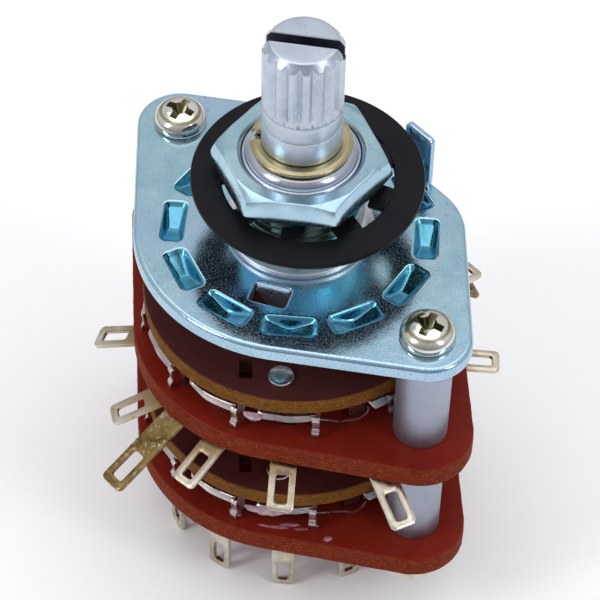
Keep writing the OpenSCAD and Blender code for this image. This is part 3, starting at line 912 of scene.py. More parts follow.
def nut(sh, af, z0, z1, bore, corner, cx=0.0, cy=0.0, rc=None, sink=0.5, slope=30.0, per=22, roll=0.0, roll_z=0.55, crown=14.0):
    """Hexagon nut: coned corners, countersunk bore, facets that lean in over the upper part when roll is set."""
    h = af / 2
    rc = rc or h - 0.14
    angs = [corner + 60 * k + 60 * i / per for k in range(6) for i in range(per)]
    hexr = []
    for a in angs:
        d = ((a - corner) % 60) - 30
        near = h / math.cos(rad(abs(d)))
        other = h / math.cos(rad(60 - abs(d)))
        hexr.append(-math.log(math.exp(-near * crown) + math.exp(-other * crown)) / crown)
    tn = math.tan(rad(slope))
    e = 0.06
    zr = z0 + (z1 - z0) * (1 - roll_z)

    def row(fn):
        pts = []
        for a, R in zip(angs, hexr):
            r, z = fn(R)
            pts.append((cx + r * math.cos(rad(a)), cy + r * math.sin(rad(a)), z))
        return sh.add(pts)

    def drop(R):
        return max(0.0, (R - rc)) * tn

    def face(R, t):
        """Point on the leaning facet, t from 0 under the cone to 1 where it stands upright."""
        top = z1 - drop(R - roll - e) - e
        return R - roll * (1 - t) ** 1.7, top + (zr - top) * t

    rows = [
        row(lambda R: (bore, z0 + sink * 0.7)),
        row(lambda R: (bore, (z0 + z1) / 2)),
        row(lambda R: (bore, z1 - sink * 0.9)),
        row(lambda R: (bore + 0.03, z1 - sink * 0.82)),
        row(lambda R: (bore + sink - 0.06, z1 - 0.07)),
        row(lambda R: (bore + sink + 0.03, z1 - 0.01)),
        row(lambda R: (bore + sink + 0.12, z1)),
        row(lambda R: (min(rc, R - roll - e) - 0.14, z1)),
        row(lambda R: (min(rc, R - roll - e) - 0.05, z1 - 0.006)),
        row(lambda R: (min(rc, R - roll - e) - 0.05 + (R - roll - e - min(rc, R - roll - e) + 0.05) * 0.5, z1 - drop(rc + (R - roll - e - rc) * 0.5) - 0.012)),
        row(lambda R: (R - roll - e, z1 - drop(R - roll - e) - 0.02)),
        row(lambda R: face(R, 0.0)),
    ]
    if roll:
        rows += [row(lambda R, t=t: face(R, t)) for t in (0.15, 0.32, 0.5, 0.7, 0.85)]
    rows += [
        row(lambda R: (R, zr)),
        row(lambda R: (R, z0 + drop(R - e) + e * 1.1)),
        row(lambda R: (R - e * 0.3, z0 + drop(R - e) + e * 0.45)),
        row(lambda R: (R - e, z0 + drop(R - e))),
        row(lambda R: (min(rc, R - e) - 0.02, z0)),
        row(lambda R: (bore + sink, z0)),
        row(lambda R: (bore + sink * 0.1, z0 + sink * 0.55)),
    ]
    sh.stack(rows + [rows[0]])


def hex_nut():
    sh = Shell()
    nut(sh, 12.0, 6.2, 8.2, 4.52, 41.5, rc=5.74, sink=0.24, slope=24.0, per=30, roll=0.36, roll_z=0.78, crown=9.0)
    return make("hex_nut_coned", sh, [M_NUT, M_NUT_SIDE], "frame", ["hex_nut"], smooth=24, flats=[(8.2, 1), (6.2, -1)],
                pick=lambda c, n: 1 if abs(n.z) < 0.62 and math.hypot(c.x, c.y) > 5.5 else 0)


hex_nut()


def lock_washer():
    """Internal-tooth washer: flat ring with a rolled rim and nine twisted teeth."""
    sh = Shell()
    mid, ox, oy, tw = 6.2 - 0.75 * math.sin(rad(22)) - 0.25 * math.cos(rad(22)), 0.35, 0.39, 22.0
    z1, z0 = mid + 0.25, mid - 0.25
    n, inner, outer = 180, 6.5, 8.8
    # the ring and its teeth share the inner outline, so that each tooth root blends into the ring
    prof = [(inner, z0 + 0.08), (inner + 0.05, z0), (outer - 0.12, z0), (outer - 0.03, z0 + 0.04), (outer, z0 + 0.14),
            (outer, z1 - 0.16), (outer - 0.05, z1 - 0.06), (outer - 0.16, z1 - 0.005), (outer - 0.3, z1), (inner + 0.3, z1), (inner + 0.08, z1), (inner, z1 - 0.08)]
    lathe(sh, prof, n, ox, oy, closed=True)
    for k in range(9):
        a = 29 + 40 * k
        c, s = math.cos(rad(a)), math.sin(rad(a))
        rows = []
        steps = 16
        for i in range(steps + 1):
            t = i / steps
            r = 6.95 - (6.95 - 5.06) * t
            e = min(1.0, max(0.0, (t - 0.08) / 0.42))
            ang = rad(tw * e * e * (3 - 2 * e))
            w = 0.96 + 0.20 * max(0.0, 1 - t / 0.3) ** 2
            end = 0.06 if i == steps else 0.0
            sec = fillet([(-w + end, -0.25 + end), (w - end, -0.25 + end), (w - end, 0.25 - end), (-w + end, 0.25 - end)], 0.06, 2)
            pts = []
            for y, z in sec:
                if t < 0.2:
                    z = z * 0.98
                yy, zz = y * math.cos(ang) - z * math.sin(ang), y * math.sin(ang) + z * math.cos(ang)
                pts.append((ox + r * c - yy * s, oy + r * s + yy * c, mid + zz))
            rows.append(sh.add(pts))
        sh.stack(rows)
        sh.f.append(tuple(rows[0]))
        sh.f.append(tuple(rows[-1]))
    # it hangs loosely: its back touches the nut and its front is 0.76 mm lower
    cx, cy = math.cos(rad(-41.6)), math.sin(rad(-41.6))
    sh.v = [(x, y, z - 0.38 * (1 + ((x - ox) * cx + (y - oy) * cy) / outer)) for x, y, z in sh.v]
    return make("lock_washer_toothed", sh, M_BLACK, "frame", ["lock_washer"], smooth=34)


lock_washer()


# ---- shaft -------------------------------------------------------------------------------
def drive_section(r, flat, n=14):
    p = math.degrees(math.asin(flat / r))
    out = []
    for base in (0, 180):
        out += [(r * math.cos(rad(base - p + 2 * p * i / n)), r * math.sin(rad(base - p + 2 * p * i / n))) for i in range(n + 1)]
    return out


def shaft():
    sh = Shell()
    n, teeth, R, D = 18 * 16, 18, 3.0, 0.27
    z_rows = [(-2.6, 2.9), (-2.55, 3.0), (0.0, 3.0), (8.36, 3.0), (8.40, 2.75), (8.86, 2.75), (8.90, 2.6), (9.38, 2.6), (9.40, 2.93), (9.47, 3.0),
              (10.4, 3.0), (11.50, 3.0), (11.56, 2.995), (11.60, 2.978), (11.64, 2.995), (11.70, 3.0), (12.2, 3.0), (12.7, 2.995), (13.0, 2.985), (13.15, 2.97)]
    z = 13.25
    while z < 18.2:
        z_rows.append((z, 3.0))
        z += 0.11 if z < 13.8 else 0.34
    z = 18.2
    while z < 19.13:
        z_rows.append((z, 3.0))
        z += 0.055
    z_rows.append((19.15, 3.0))

    def wave(r, z, a):
        if z >= 13.2:
            s = ((math.degrees(a) - 3) / 20.0) % 1.0
            d = abs(s - 0.5)
            g = max(0.0, 1 - d / 0.29)
            g = g ** 0.9
            k = min(1.0, max(0.0, (z - 13.25) / 0.55)) ** 0.7
            crest = 0.012 * math.exp(-((d - 0.33) / 0.035) ** 2)
            uneven = 0.012 * noise.noise(Vector((math.cos(a) * 4, math.sin(a) * 4, z * 1.4)))
            rr = R - D * g * k + crest * k + uneven * g
            crown = 3.02 - max(0.0, z - 18.52) * 0.80
            return min(rr, crown), z
        return r, z

    rows = lathe(sh, [(r, z) for z, r in z_rows], n, wave=wave)
    # crown: chamfer edge rolled into the flat top
    top = []
    for r, z in ((2.47, 19.175), (2.40, 19.193), (2.30, 19.2), (1.2, 19.2)):
        top.append(sh.add([(r * math.cos(2 * math.pi * i / n), r * math.sin(2 * math.pi * i / n), z) for i in range(n)]))
    sh.stack([rows[-1]] + top)
    c = sh.add([(0, 0, 19.2)])[0]
    sh.fan(c, top[-1])
    b = sh.add([(0, 0, -2.6)])[0]
    sh.fan(b, rows[0])
    cut = Shell()
    w, zb = 0.45, TIP_Z - 1.3
    sec = [(-w, zb + 0.06), (-w + 0.06, zb), (w - 0.06, zb), (w, zb + 0.06), (w, 19.13), (w + 0.10, 19.24), (w + 0.10, 21), (-w - 0.10, 21), (-w - 0.10, 19.24), (-w, 19.13)]
    ca, sa = math.cos(rad(40)), math.sin(rad(40))
    ends = [cut.add([(x * ca - y * sa, x * sa + y * ca, z) for y, z in sec]) for x in (-5.0, 5.0)]
    cut.stack(ends)
    cut.f += [tuple(ends[0]), tuple(ends[1])]
    # drive bar with two flats, below the index plate
    bar = Shell()
    t, bo = rim(bar, dense(drive_section(2.5, 1.6), 0.5), 1, -2.55, -25.8, 0.02, 0.18, 3)
    bar.fill(t)
    bar.fill(bo)
    # the slot's walls and floor take the near-black copy (index 1): painted shade in the slot
    top_ob = make("shaft_knurled", sh, [M_SHAFT, M_SLOT_SHADE], "rotor", ["shaft"], smooth=30, cutters=[cut],
                  pick=lambda c, n: 1 if c.z < 19.13 and abs(-c.x * sa + c.y * ca) < 0.452 and (c.z < 17.98 and n.z > 0.5 or abs(n.x * sa - n.y * ca) > 0.95) and abs(c.x * ca + c.y * sa) < 2.98 and c.z > 17.85 else 0)
    low_ob = make("shaft_drive_bar", bar, M_SHAFT, "rotor", [], smooth=30)
    return top_ob, low_ob


shaft()


# ---- tie screws, tubes, tie nuts -----------------------------------------------------------
def tie_screws():
    for side, s in (("left", -1), ("right", 1)):
        sh = Shell()
        cx = s * HALF
        head = [(1.0, 0.0), (1.92, 0.0), (2.03, 0.04), (2.09, 0.14), (2.1, 0.30), (2.09, 0.46), (2.05, 0.64), (1.96, 0.83), (1.83, 1.0),
                (1.65, 1.15), (1.42, 1.28), (1.12, 1.38), (0.8, 1.45), (0.4, 1.49), (0.0, 1.5)]
        shank = [(0.0, B2_BOT - 2.9), (0.55, B2_BOT - 2.9), (0.85, B2_BOT - 2.82), (1.12, B2_BOT - 2.6)]
        z = B2_BOT - 2.55
        while z < B2_BOT + 1.0:
            shank.append((1.15, z))
            z += 0.4 / 6
        shank += [(1.15, B2_BOT + 1.1), (1.15, -12.0), (1.15, -0.1)]

        def wave(r, z, a):
            if B2_BOT - 2.56 < z < B2_BOT + 1.01 and r > 1.0:
                run = min(1.0, (z - B2_BOT + 2.65) / 0.3, (B2_BOT + 1.05 - z) / 0.3)
                return r - 0.20 * (1 - saw(z / 0.4 - a / (2 * math.pi))) * max(0.0, run), z
            return r, z

        lathe(sh, shank + head, 64, cx, 0.0, wave=wave)
        # cross recess: four tapered arms over a conical pit
        cuts = []
        a0 = 20 if s < 0 else 24
        for q in (0, 90):
            cut = Shell()
            secs = []
            for z, hl, hw in ((0.42, 0.34, 0.17), (0.75, 0.72, 0.21), (1.15, 1.02, 0.27), (1.75, 1.40, 0.36)):
                pts = turn(fillet([(-hl, -hw), (hl, -hw), (hl, hw), (-hl, hw)], 0.05, 2), a0 + q, cx, 0.0)
                secs.append(cut.add([(x, y, z) for x, y in pts]))
            cut.stack(secs)
            cut.f += [tuple(secs[0]), tuple(secs[-1])]
            cuts.append(cut)
        pit = Shell()
        lathe(pit, [(0.0, 0.30), (0.28, 0.42), (0.50, 0.9), (0.72, 1.75), (0.0, 1.75)], 24, cx, 0.0)
        cuts.append(pit)
        # faces inside the cross recess take the dark nickel copy (index 1): painted shade
        pick = lambda c, n: 1 if 0.2 < c.z < 1.42 and math.hypot(c.x - cx, c.y) < 1.55 and c.z < 1.5 - 0.09 * math.hypot(c.x - cx, c.y) ** 2 - 0.04 else 0
        make("tie_screw_" + side, sh, [M_SCREW, M_RECESS_SHADE], "frame", ["tie_screws"], smooth=36, cutters=cuts, pick=pick)


tie_screws()


def tubes(name, z0, node):
    sh = Shell()
    for s in (-1, 1):
        prof = fillet([(1.3, z0), (2.1, z0), (2.1, z0 + TUBE), (1.3, z0 + TUBE)], [0.05, 0.14, 0.14, 0.05], 4)
        # extra rings keep the long wall smooth
        prof = dense(prof, 1.2)
        lathe(sh, prof, 64, s * HALF, 0.0, closed=True)
    make(name, sh, M_TUBE, "frame", [node], smooth=36)


tubes("upper_tubes", B1_TOP, "upper_spacers")
tubes("lower_tubes", B2_TOP, "lower_spacers")


def tie_nuts():
    sh = Shell()
    for s in (-1, 1):
        nut(sh, 5.5, B2_BOT - 2.5, B2_BOT, 1.17, 24.0, s * HALF, 0.0, rc=2.6, sink=0.2, per=16)
    make("tie_nuts_coned", sh, M_SCREW, "frame", ["tie_nuts"], smooth=24)


tie_nuts()


# ---- boards and discs ------------------------------------------------------------------------
def board(name, zb, node, commons, seed):
    sh = Shell()
    holes = [circle(3.6, 72), circle(1.25, 32, HALF, 0), circle(1.25, 32, -HALF, 0)]
    for a in POLE_A + POLE_B:
        holes.append(turn([(x + 10.6, y) for x, y in rrect(0.5, 1.5, 0.1)], a))
    for a in commons:
        holes.append(turn([(x + 7.8, y) for x, y in rrect(0.5, 1.5, 0.1)], a))
    outer = dense(lozenge(BOARD_R, BOARD_RE, HALF, 40, 60), 0.28)
    slab(sh, outer, holes, zb + BOARD_T, zb, 0.16, 0.12, 4, 0.05, mid=7, rough=0.055, seed=seed)
    make(name, sh, M_BOARD, "frame", [node], smooth=40, flats=[(zb + BOARD_T, 1), (zb, -1)])


board("upper_board_punched", B1_BOT, "upper_board", (-89, 94), 3.1)
board("lower_board_punched", B2_BOT, "lower_board", (-90, 90), 8.7)


def disc(name, zb, node, seed):
    sh = Shell()
    holes = [dense(drive_section(2.52, 1.62), 0.4)]
    for s in (0, 180):
        holes.append(turn(circle(0.62, 24, RIVET_R, 0), RIVET_A + s))
        slot = turn(rrect(1.9, 1.0, 0.12), -40, 4.18, -8.78)
        holes.append(turn(slot, s))
    outer = circle(DISC_R, 260)
    slab(sh, outer, holes, zb + DISC_T, zb, 0.20, 0.16, 4, 0.05, mid=6, rough=0.045, seed=seed)
    # hole and slot walls take the darker copy (index 1): painted shade; the outer rim keeps the disc phenolic
    pick = lambda c, n: 1 if abs(n.z) < 0.7 and math.hypot(c.x, c.y) < 11.6 else 0
    make(name, sh, [M_DISC, M_DISC_HOLE_SHADE], "rotor", [node], smooth=40, pick=pick, flats=[(zb + DISC_T, 1), (zb, -1)])


disc("upper_disc_punched", D1_BOT, "upper_rotor_disc", 1.7)
disc("lower_disc_punched", D2_BOT, "lower_rotor_disc", 6.3)


def rivets(name, zb, node):
    sh = Shell()
    zt = zb + DISC_T
    for s in (0, 180):
        x, y = RIVET_R * math.cos(rad(RIVET_A + s)), RIVET_R * math.sin(rad(RIVET_A + s))
        prof = [(0.0, zb - 0.4), (0.74, zb - 0.4), (0.8, zb - 0.36), (0.8, zb - 0.3), (0.6, zb - 0.3), (0.6, zt), (0.95, zt), (1.0, zt + 0.05),
                (1.0, zt + 0.26), (0.985, zt + 0.33), (0.94, zt + 0.38), (0.86, zt + 0.4), (0.4, zt + 0.395), (0.0, zt + 0.39)]
        lathe(sh, prof, 40, x, y)
    make(name, sh, M_RIVET, "rotor", [node], smooth=34)


rivets("upper_rivets_set", D1_BOT, "upper_rotor_rivets")
rivets("lower_rivets_set", D2_BOT, "lower_rotor_rivets")


# ---- terminals ---------------------------------------------------------------------------------
def block(sh, r0, r1, w, z0, z1, a, yaw=0.0, at=0.0):
    """Small upright sheet piece at the angle a."""
    flat = Shell()
    t, b = rim(flat, rrect(r1 - r0, w, 0.08, (r0 + r1) / 2, 0.0, seg=2), 1, z1, z0, 0.03, 0.03, 2)
    flat.fill(t)
    flat.fill(b)
    place = polar(a, yaw, at)
    sh.join(flat, lambda p: place(p[0], p[1], p[2]))


def contact(sh, zs, a, kind, seed):
    """Spring contact under the rotor: flat blade with its outer edge turned down, rippled a little by hand fitting."""
    rows = []
    t0, t1, n = (-10.5, 11.0, 72)
    for i in range(n + 1):
        t = i / n
        th = a + t0 + (t1 - t0) * t
        g = noise.noise(Vector((t * 2.2, seed, 0.3)))
        g2 = noise.noise(Vector((t * 4.6, seed + 4.0, 1.7)))
        sag = 0.10 * math.sin(math.pi * t) ** 2
        if kind == "wide":
            skirt = 0.16 + 0.34 * min(1.0, t / 0.45) + 0.04 * g2
            flare = 0.08 + 0.18 * t
        elif kind == "mid":
            skirt = 0.36 + 0.05 * g2 - 0.08 * max(0.0, t - 0.7)
            flare = 0.24
        else:
            sag = 0.0
            skirt = 0.08 + 0.50 * min(1.0, max(0.0, (t - 0.58) / 0.08)) + 0.02 * g2
            flare = 0.02 + 0.26 * min(1.0, max(0.0, (t - 0.58) / 0.08))
        top = zs - 0.03 - 0.04 * abs(g) - sag
        if t < 0.05:
            skirt *= 0.35 + 13 * t
        R = 11.90 + 0.05 * g + 0.03 * g2 - (0.30 * (1 - min(1.0, t / 0.10)) ** 2) - (0.42 * (1.0 - min(1.0, max(0.0, (t - 0.56) / 0.06))) if kind == "thin" else 0.0)
        w = 0.11
        sec = [(10.45, top), (R - 0.12, top), (R - 0.04, top - 0.02), (R + 0.005, top - 0.07), (R + flare * 0.5, top - skirt * 0.5), (R + flare, top - skirt), (R + flare - w * 0.5, top - skirt - 0.02),
               (R + flare - w, top - skirt), (R + flare * 0.5 - w, top - skirt * 0.5 - 0.02), (R - w, top - 0.11), (10.45, top - w)]
        c, s = math.cos(rad(th)), math.sin(rad(th))
        rows.append(sh.add([(r * c, r * s, z) for r, z in sec]))
    sh.stack(rows)
    sh.f.append(tuple(rows[0]))
    sh.f.append(tuple(rows[-1]))


def leg(sh, zt, zs, a):
    """Leg at the contact's end: hangs outside the rim, cranked, its foot standing on the board."""
    f, L = track(11.95, zs - 0.12, (("l", 0.10), ("a", 0.18, 100), ("l", 1.02), ("a", 0.16, -46), ("l", 0.30), ("a", 0.16, 40), ("l", 0.42)))
    strip(sh, f, L, 0.58, 0.18, tip=0.08, edge=0.04, place=polar(a + 11.3, yaw=-14, at=11.95), step=0.12)
    f, L = track(11.15, zt - 0.10, (("l", zs - zt + 0.02),), head=90)
    strip(sh, f, L, 0.60, 0.20, tip=0.05, edge=0.04, place=polar(a + 12), step=0.2)


def wire(sh, pts, r, w=0.07, h=0.05):
    """Torn edge of the contact strip, a thin wavy band; pts are (angle, z)."""
    rows = []
    n = 10
    for i in range((len(pts) - 1) * n + 1):
        k, u = min(i // n, len(pts) - 2), (i - min(i // n, len(pts) - 2) * n) / n
        p0, p1, p2, p3 = pts[max(k - 1, 0)], pts[k], pts[k + 1], pts[min(k + 2, len(pts) - 1)]
        q = [0.5 * (2 * p1[j] + (p2[j] - p0[j]) * u + (2 * p0[j] - 5 * p1[j] + 4 * p2[j] - p3[j]) * u * u + (3 * p1[j] - p0[j] - 3 * p2[j] + p3[j]) * u ** 3) for j in (0, 1)]
        a, z = rad(q[0]), q[1]
        ww = w * (1 + 0.5 * noise.noise(Vector((q[0] * 0.3, z, 2.0))))
        rows.append(sh.add([((r + x) * math.cos(a), (r + x) * math.sin(a), z + y) for x, y in ((-h, -ww), (h, -ww), (h, ww), (-h, ww))]))
    sh.stack(rows)
    sh.f.append(tuple(rows[0]))
    sh.f.append(tuple(rows[-1]))


def lug(sh, a, rb, l, b, zb, w=LUG_W, r0=10.2, eye=None, yaw=0.0, at=0.0, br=0.45, twist=0.0):
    """Solder lug: foot under the board, bend, tongue with a rectangular eye."""
    k = br * math.tan(rad(b) / 2)
    f, L = track(r0, zb - LUG_T / 2, (("l", rb - r0 - k), ("a", br, b), ("l", l - k)))
    e0, e1, ew = eye or (2.9, 0.6, w - 1.1)
    place = polar(a, yaw, at)
    start = rb - r0

    def put(r, v, z):
        if twist:
            q = max(0.0, min(1.0, (r - rb) / max(0.5, l * math.cos(rad(b)))))
            ang = rad(twist) * q
            zc = f(L, 0)[1]
            z = z + v * math.sin(ang)
            v = v * math.cos(ang)
        return place(r, v, z)

    strip(sh, f, L, w, LUG_T, tip=0.42, edge=0.10, eye=(L - e0, L - e1, ew), place=put, step=0.22)


KINDS = {-135: "mid", -105: "mid", -75: "wide", -45: "mid", -15: "thin", 45: "mid", 75: "wide", 105: "thin", 135: "mid", 165: "wide"}

# Upper lugs bent by hand: angle, tongue length, bend, turn and the radius it turns about.
HAND = {-135: (-135, 4.9, 24, -14, 16.0), -105: (-105, 4.9, 24, -14, 16.0), -75: (-73.8, 4.9, 24, -9, 16.0),
        45: (41, 4.7, 3, 6, 16.0), 75: (75, 5.33, 8, 16, 13.0)}


def terminals(name, node, zt, lower):
    sh = Shell()
    zs = zt + 2.8 - BLADE_T - STRIP_GAP
    zb = zt - BOARD_T
    for i, a in enumerate(POLE_A + POLE_B):
        if lower:
            lug(sh, a, 10.65, zb - FLOOR_Z - LUG_T / 2, 90, zb, w=1.92, r0=9.7, eye=(2.9, 0.6, 0.95), br=0.42)
        else:
            rb = 14.8 if a in (-15, 165) else 11.6
            ha, l, b, yaw, at = HAND.get(a, (a, 4.9, 24, 0, 0.0))
            lug(sh, ha, rb, l, b, zb, yaw=yaw, at=at, twist={-135: -4, -105: 5, -75: 3, -45: -6}.get(a, 0))
        block(sh, 10.4, 10.8, 1.4, zb - 0.1, zs - 0.1, a)
        contact(sh, zs, a, KINDS[a], i * 2.3 + (20 if lower else 0))
        leg(sh, zt, zs, a)
    if lower:
        wire(sh, [(a, zt + z) for a, z in ((-38.5, 2.10), (-34.5, 1.95), (-30.6, 1.73), (-26.5, 1.60), (-22.3, 1.32), (-19.5, 0.98), (-16.9, 0.80), (-14.6, 0.95), (-12.8, 1.37), (-12.4, 1.93), (-13.6, 2.2))], 12.0)
    else:
        wire(sh, [(a, zt + z) for a, z in ((-36.0, 2.30), (-32.7, 2.02), (-28.6, 1.73), (-25.6, 1.40), (-22.5, 1.30), (-18.2, 1.09), (-15.4, 1.25), (-13.9, 1.60), (-13.6, 1.93), (-14.4, 2.2))], 12.0)
    pick = lambda c, n: 1 if c.z > zt - 0.05 and math.hypot(c.x, c.y) < 12.9 else 0
    make(name, sh, [M_LUG, M_RIBBON], "frame", [node], smooth=34, pick=pick)


terminals("upper_terminal_set", "upper_terminals", B1_TOP, False)
terminals("lower_terminal_set", "lower_terminals", B2_TOP, True)


def commons(name, node, zt, items):
    sh = Shell()
    zs = zt + 2.8 - BLADE_T - STRIP_GAP
    zb = zt - BOARD_T
    for a, rb, l, b, yaw in items:
        lug(sh, a, rb, l, b, zb, w=2.2, r0=7.0, eye=(3.3, 0.7, 1.1), yaw=yaw, at=7.8, br=0.55)
        block(sh, 7.6, 8.0, 1.4, zb - 0.1, zs - 0.1, a)
        f, L = track(5.4, zs - 0.15, (("l", 2.9),))
        strip(sh, f, L, 1.8, 0.28, tip=0.1, edge=0.06, place=polar(a), step=0.4)
    make(name, sh, M_BRASS, "frame", [node], smooth=34)


commons("upper_common_set", "upper_common_terminals", B1_TOP, [(-89, 12.2, 7.7, 24, 0), (94, 12.2, 7.0, 37, -24)])
commons("lower_common_set", "lower_common_terminals", B2_TOP, [(-90, 8.4, 7.0, 90, 0), (90, 8.4, 7.0, 90, 0)])


# ---- grease on the contacts ---------------------------------------------------------------------
def blob(sh, r, a, z, sr, st, sz, seed, amp=0.35):
    """Small lump of grease: an uneven drop stretched along the rim."""
    bm = bmesh.new()
    bmesh.ops.create_icosphere(bm, subdivisions=4, radius=1.0)
    c, s = math.cos(rad(a)), math.sin(rad(a))
    pts = []
    for v in bm.verts:
        p = v.co
        g = 1 + amp * noise.noise(p * 1.7 + Vector((seed, 0, 0))) + amp * 0.5 * noise.noise(p * 4.1 + Vector((0, seed, 0)))
        x, y, w = p.x * sr * g, p.y * st * g, p.z * sz * g
        ang = y / r
        rr = r + x
        ca, sa = math.cos(rad(a) + ang), math.sin(rad(a) + ang)
        pts.append((rr * ca, rr * sa, z + w))
    idx = sh.add(pts)
    for f in bm.faces:
        sh.f.append(tuple(idx[v.index] for v in f.verts))
    bm.free()


def film(sh, zt, pts, r, seed):
    """Grease hanging from a contact; pts are (angle, top, bottom) over the board."""
    rows = []
    for i in range(len(pts) - 1):
        for u in range(6):
            t = u / 6
            rows.append([pts[i][j] * (1 - t) + pts[i + 1][j] * t for j in range(3)])
    rows.append(list(pts[-1]))
    idx = []
    for i, (a, hi, lo) in enumerate(rows):
        e = min(1.0, i / 4, (len(rows) - 1 - i) / 4)
        g = noise.noise(Vector((a * 0.35, seed, 0.0)))
        hi, lo = hi + 0.03 * g, lo + 0.10 * noise.noise(Vector((a * 0.6, seed, 5.0)))
        b = (0.10 + 0.16 * e + 0.05 * g)
        m = (hi + lo) / 2
        sec = [(-0.05, hi), (0.03, hi + 0.03), (b * 0.75, hi - (hi - m) * 0.5), (b, m), (b * 0.8, lo + (m - lo) * 0.4), (0.04, lo), (-0.05, lo + 0.04)]
        idx.append(sh.add([((r + x) * math.cos(rad(a)), (r + x) * math.sin(rad(a)), zt + z) for x, z in sec]))
    sh.stack(idx)
    sh.f.append(tuple(idx[0]))
    sh.f.append(tuple(idx[-1]))


white = Shell()
film(white, B2_TOP, [(-60.0, 2.0, 1.75), (-58.0, 2.1, 1.45), (-55.5, 2.15, 1.50), (-53.0, 2.15, 1.20), (-50.5, 2.15, 1.38), (-48.6, 2.15, 1.30), (-46.1, 2.15, 1.66), (-43.4, 2.15, 1.92)], 12.02, 3.0)
film(white, B1_TOP, [(-60.5, 2.05, 1.70), (-58.5, 2.15, 1.40), (-56.5, 2.2, 1.30), (-54.5, 2.2, 1.50), (-53.0, 2.15, 1.9)], 11.98, 7.0)
make("contact_grease", white, M_GREASE, "frame", smooth=60, weighted=False)
pink = Shell()
blob(pink, 12.15, -48.5, B2_TOP + 0.02, 0.15, 1.20, 0.07, 3.0, 0.25)
blob(pink, 11.85, -42.5, B2_TOP + 0.02, 0.14, 0.80, 0.07, 4.0, 0.25)
blob(pink, 12.25, -38.0, B2_TOP + 0.02, 0.12, 0.55, 0.06, 6.0, 0.25)
blob(pink, 13.45, -29.3, B2_TOP + 0.04, 0.24, 0.36, 0.14, 8.0, 0.25)
blob(pink, 11.65, -64.5, B2_TOP + 0.03, 0.34, 0.55, 0.11, 12.0, 0.25)
blob(pink, 12.0, -33.0, B2_TOP + 0.03, 0.20, 0.34, 0.09, 14.0, 0.25)
make("board_smears", pink, M_SMEAR, "frame", smooth=60, weighted=False)


# ---- floor, lights, world ------------------------------------------------------------------------
def stage():
    bm = bmesh.new()
    n, size = 12, 1.4
    grid = [[bm.verts.new((size * (i / n - 0.5) * 2, size * (j / n - 0.5) * 2, FLOOR_Z * MM)) for j in range(n + 1)] for i in range(n + 1)]
    for i in range(n):
        for j in range(n):
            bm.faces.new((grid[i][j], grid[i + 1][j], grid[i + 1][j + 1], grid[i][j + 1]))
    me = bpy.data.meshes.new("studio_floor")
    bm.to_mesh(me)
    bm.free()
    m = Mat("floor_paper", Metallic=0.0)
    m.color(m.mix(m.range(m.noise(40, 3), 0.3, 0.7), (0.975, 0.975, 0.975), (0.985, 0.985, 0.985)))
    m.rough(m.range(m.noise(300, 2), 0.3, 0.7, 0.75, 0.85))
    me.materials.append(m.m)
    ob = bpy.data.objects.new("studio_floor", me)
    bpy.context.scene.collection.objects.link(ob)


stage()


def area(name, az, el, dist, size, power, colour=(1, 1, 1), aim=(0, 0, 0), size_y=None):
    d = bpy.data.lights.new(name, "AREA")
    d.shape = "RECTANGLE"
    d.size = size
    d.size_y = size_y or size
    d.energy = power
    d.color = colour
    o = bpy.data.objects.new(name, d)
    bpy.context.scene.collection.objects.link(o)
    v = Vector((math.cos(rad(az)) * math.cos(rad(el)), math.sin(rad(az)) * math.cos(rad(el)), math.sin(rad(el))))
    o.location = Vector(aim) + v * dist
    o.rotation_euler = (-v).to_track_quat("-Z", "Y").to_euler()
    return o


area("key_left", -104, 38, 0.50, 0.12, 0.55, (1.0, 1.0, 1.0), size_y=0.22)
area("key_right", 16, 38, 0.50, 0.10, 0.45, (1.0, 1.0, 1.0), size_y=0.22)
area("top_panel", 138, 80, 0.60, 0.60, 1.2, (1.0, 1.0, 1.0))

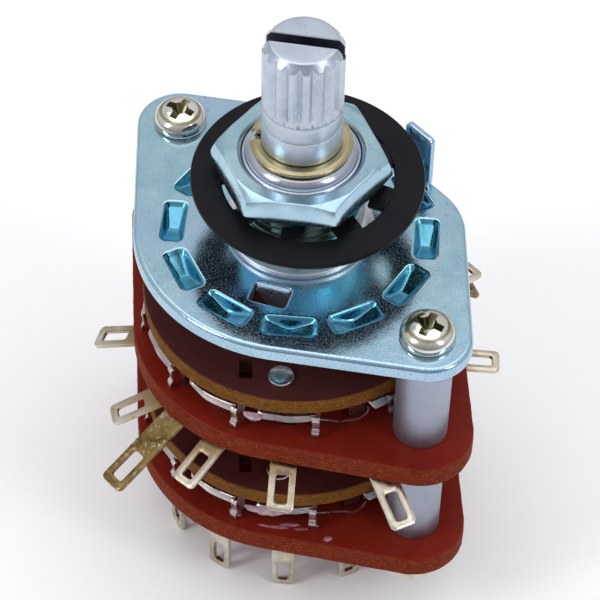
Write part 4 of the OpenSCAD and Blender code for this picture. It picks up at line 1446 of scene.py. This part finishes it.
world = bpy.data.worlds.new("studio")
bpy.context.scene.world = world
world.use_nodes = True
wt = world.node_tree
wt.nodes.clear()
wo = wt.nodes.new("ShaderNodeOutputWorld")
bg = wt.nodes.new("ShaderNodeBackground")
tc = wt.nodes.new("ShaderNodeTexCoord")
sep = wt.nodes.new("ShaderNodeSeparateXYZ")
wt.links.new(tc.outputs["Generated"], sep.inputs[0])


def ramp(stops):
    n = wt.nodes.new("ShaderNodeValToRGB")
    e = n.color_ramp.elements
    e[0].position, e[0].color = stops[0][0], (*stops[0][1], 1)
    e[1].position, e[1].color = stops[-1][0], (*stops[-1][1], 1)
    for p, c in stops[1:-1]:
        e.new(p).color = (*c, 1)
    return n


def wmath(op, a, b):
    n = wt.nodes.new("ShaderNodeMath")
    n.operation = op
    for k, v in enumerate((a, b)):
        if isinstance(v, float):
            n.inputs[k].default_value = v
        else:
            wt.links.new(v, n.inputs[k])
    return n.outputs[0]


# height of the sky, and how far a direction points to the front of the studio
height = ramp([(0.0, (0.62, 0.63, 0.66)), (0.45, (0.95, 0.96, 1.0)), (0.75, (1.0, 1.0, 1.0)), (1.0, (0.80, 0.82, 0.86))])
wt.links.new(sep.outputs[2], height.inputs[0])
front = wmath("ADD", wmath("MULTIPLY", sep.outputs[0], 0.747), wmath("MULTIPLY", sep.outputs[1], -0.664))
shade = ramp([(0.0, (1.0, 1.0, 1.0)), (0.50, (1.0, 1.0, 1.0)), (0.68, (0.86, 0.86, 0.88)), (0.82, (0.66, 0.66, 0.69)), (1.0, (0.45, 0.45, 0.48))])
wt.links.new(wmath("ADD", wmath("MULTIPLY", front, 0.5), 0.5), shade.inputs[0])
both = wt.nodes.new("ShaderNodeMix")
both.data_type, both.blend_type = "RGBA", "MULTIPLY"
both.inputs[0].default_value = 1.0
wt.links.new(height.outputs[0], both.inputs[6])
wt.links.new(shade.outputs[0], both.inputs[7])
wt.links.new(both.outputs[2], bg.inputs[0])
wt.links.new(bg.outputs[0], wo.inputs[0])
bg.inputs[1].default_value = 0.77

scene = bpy.context.scene
scene.view_settings.view_transform = "Standard"
scene.view_settings.look = "None"
scene.view_settings.exposure = 0.0
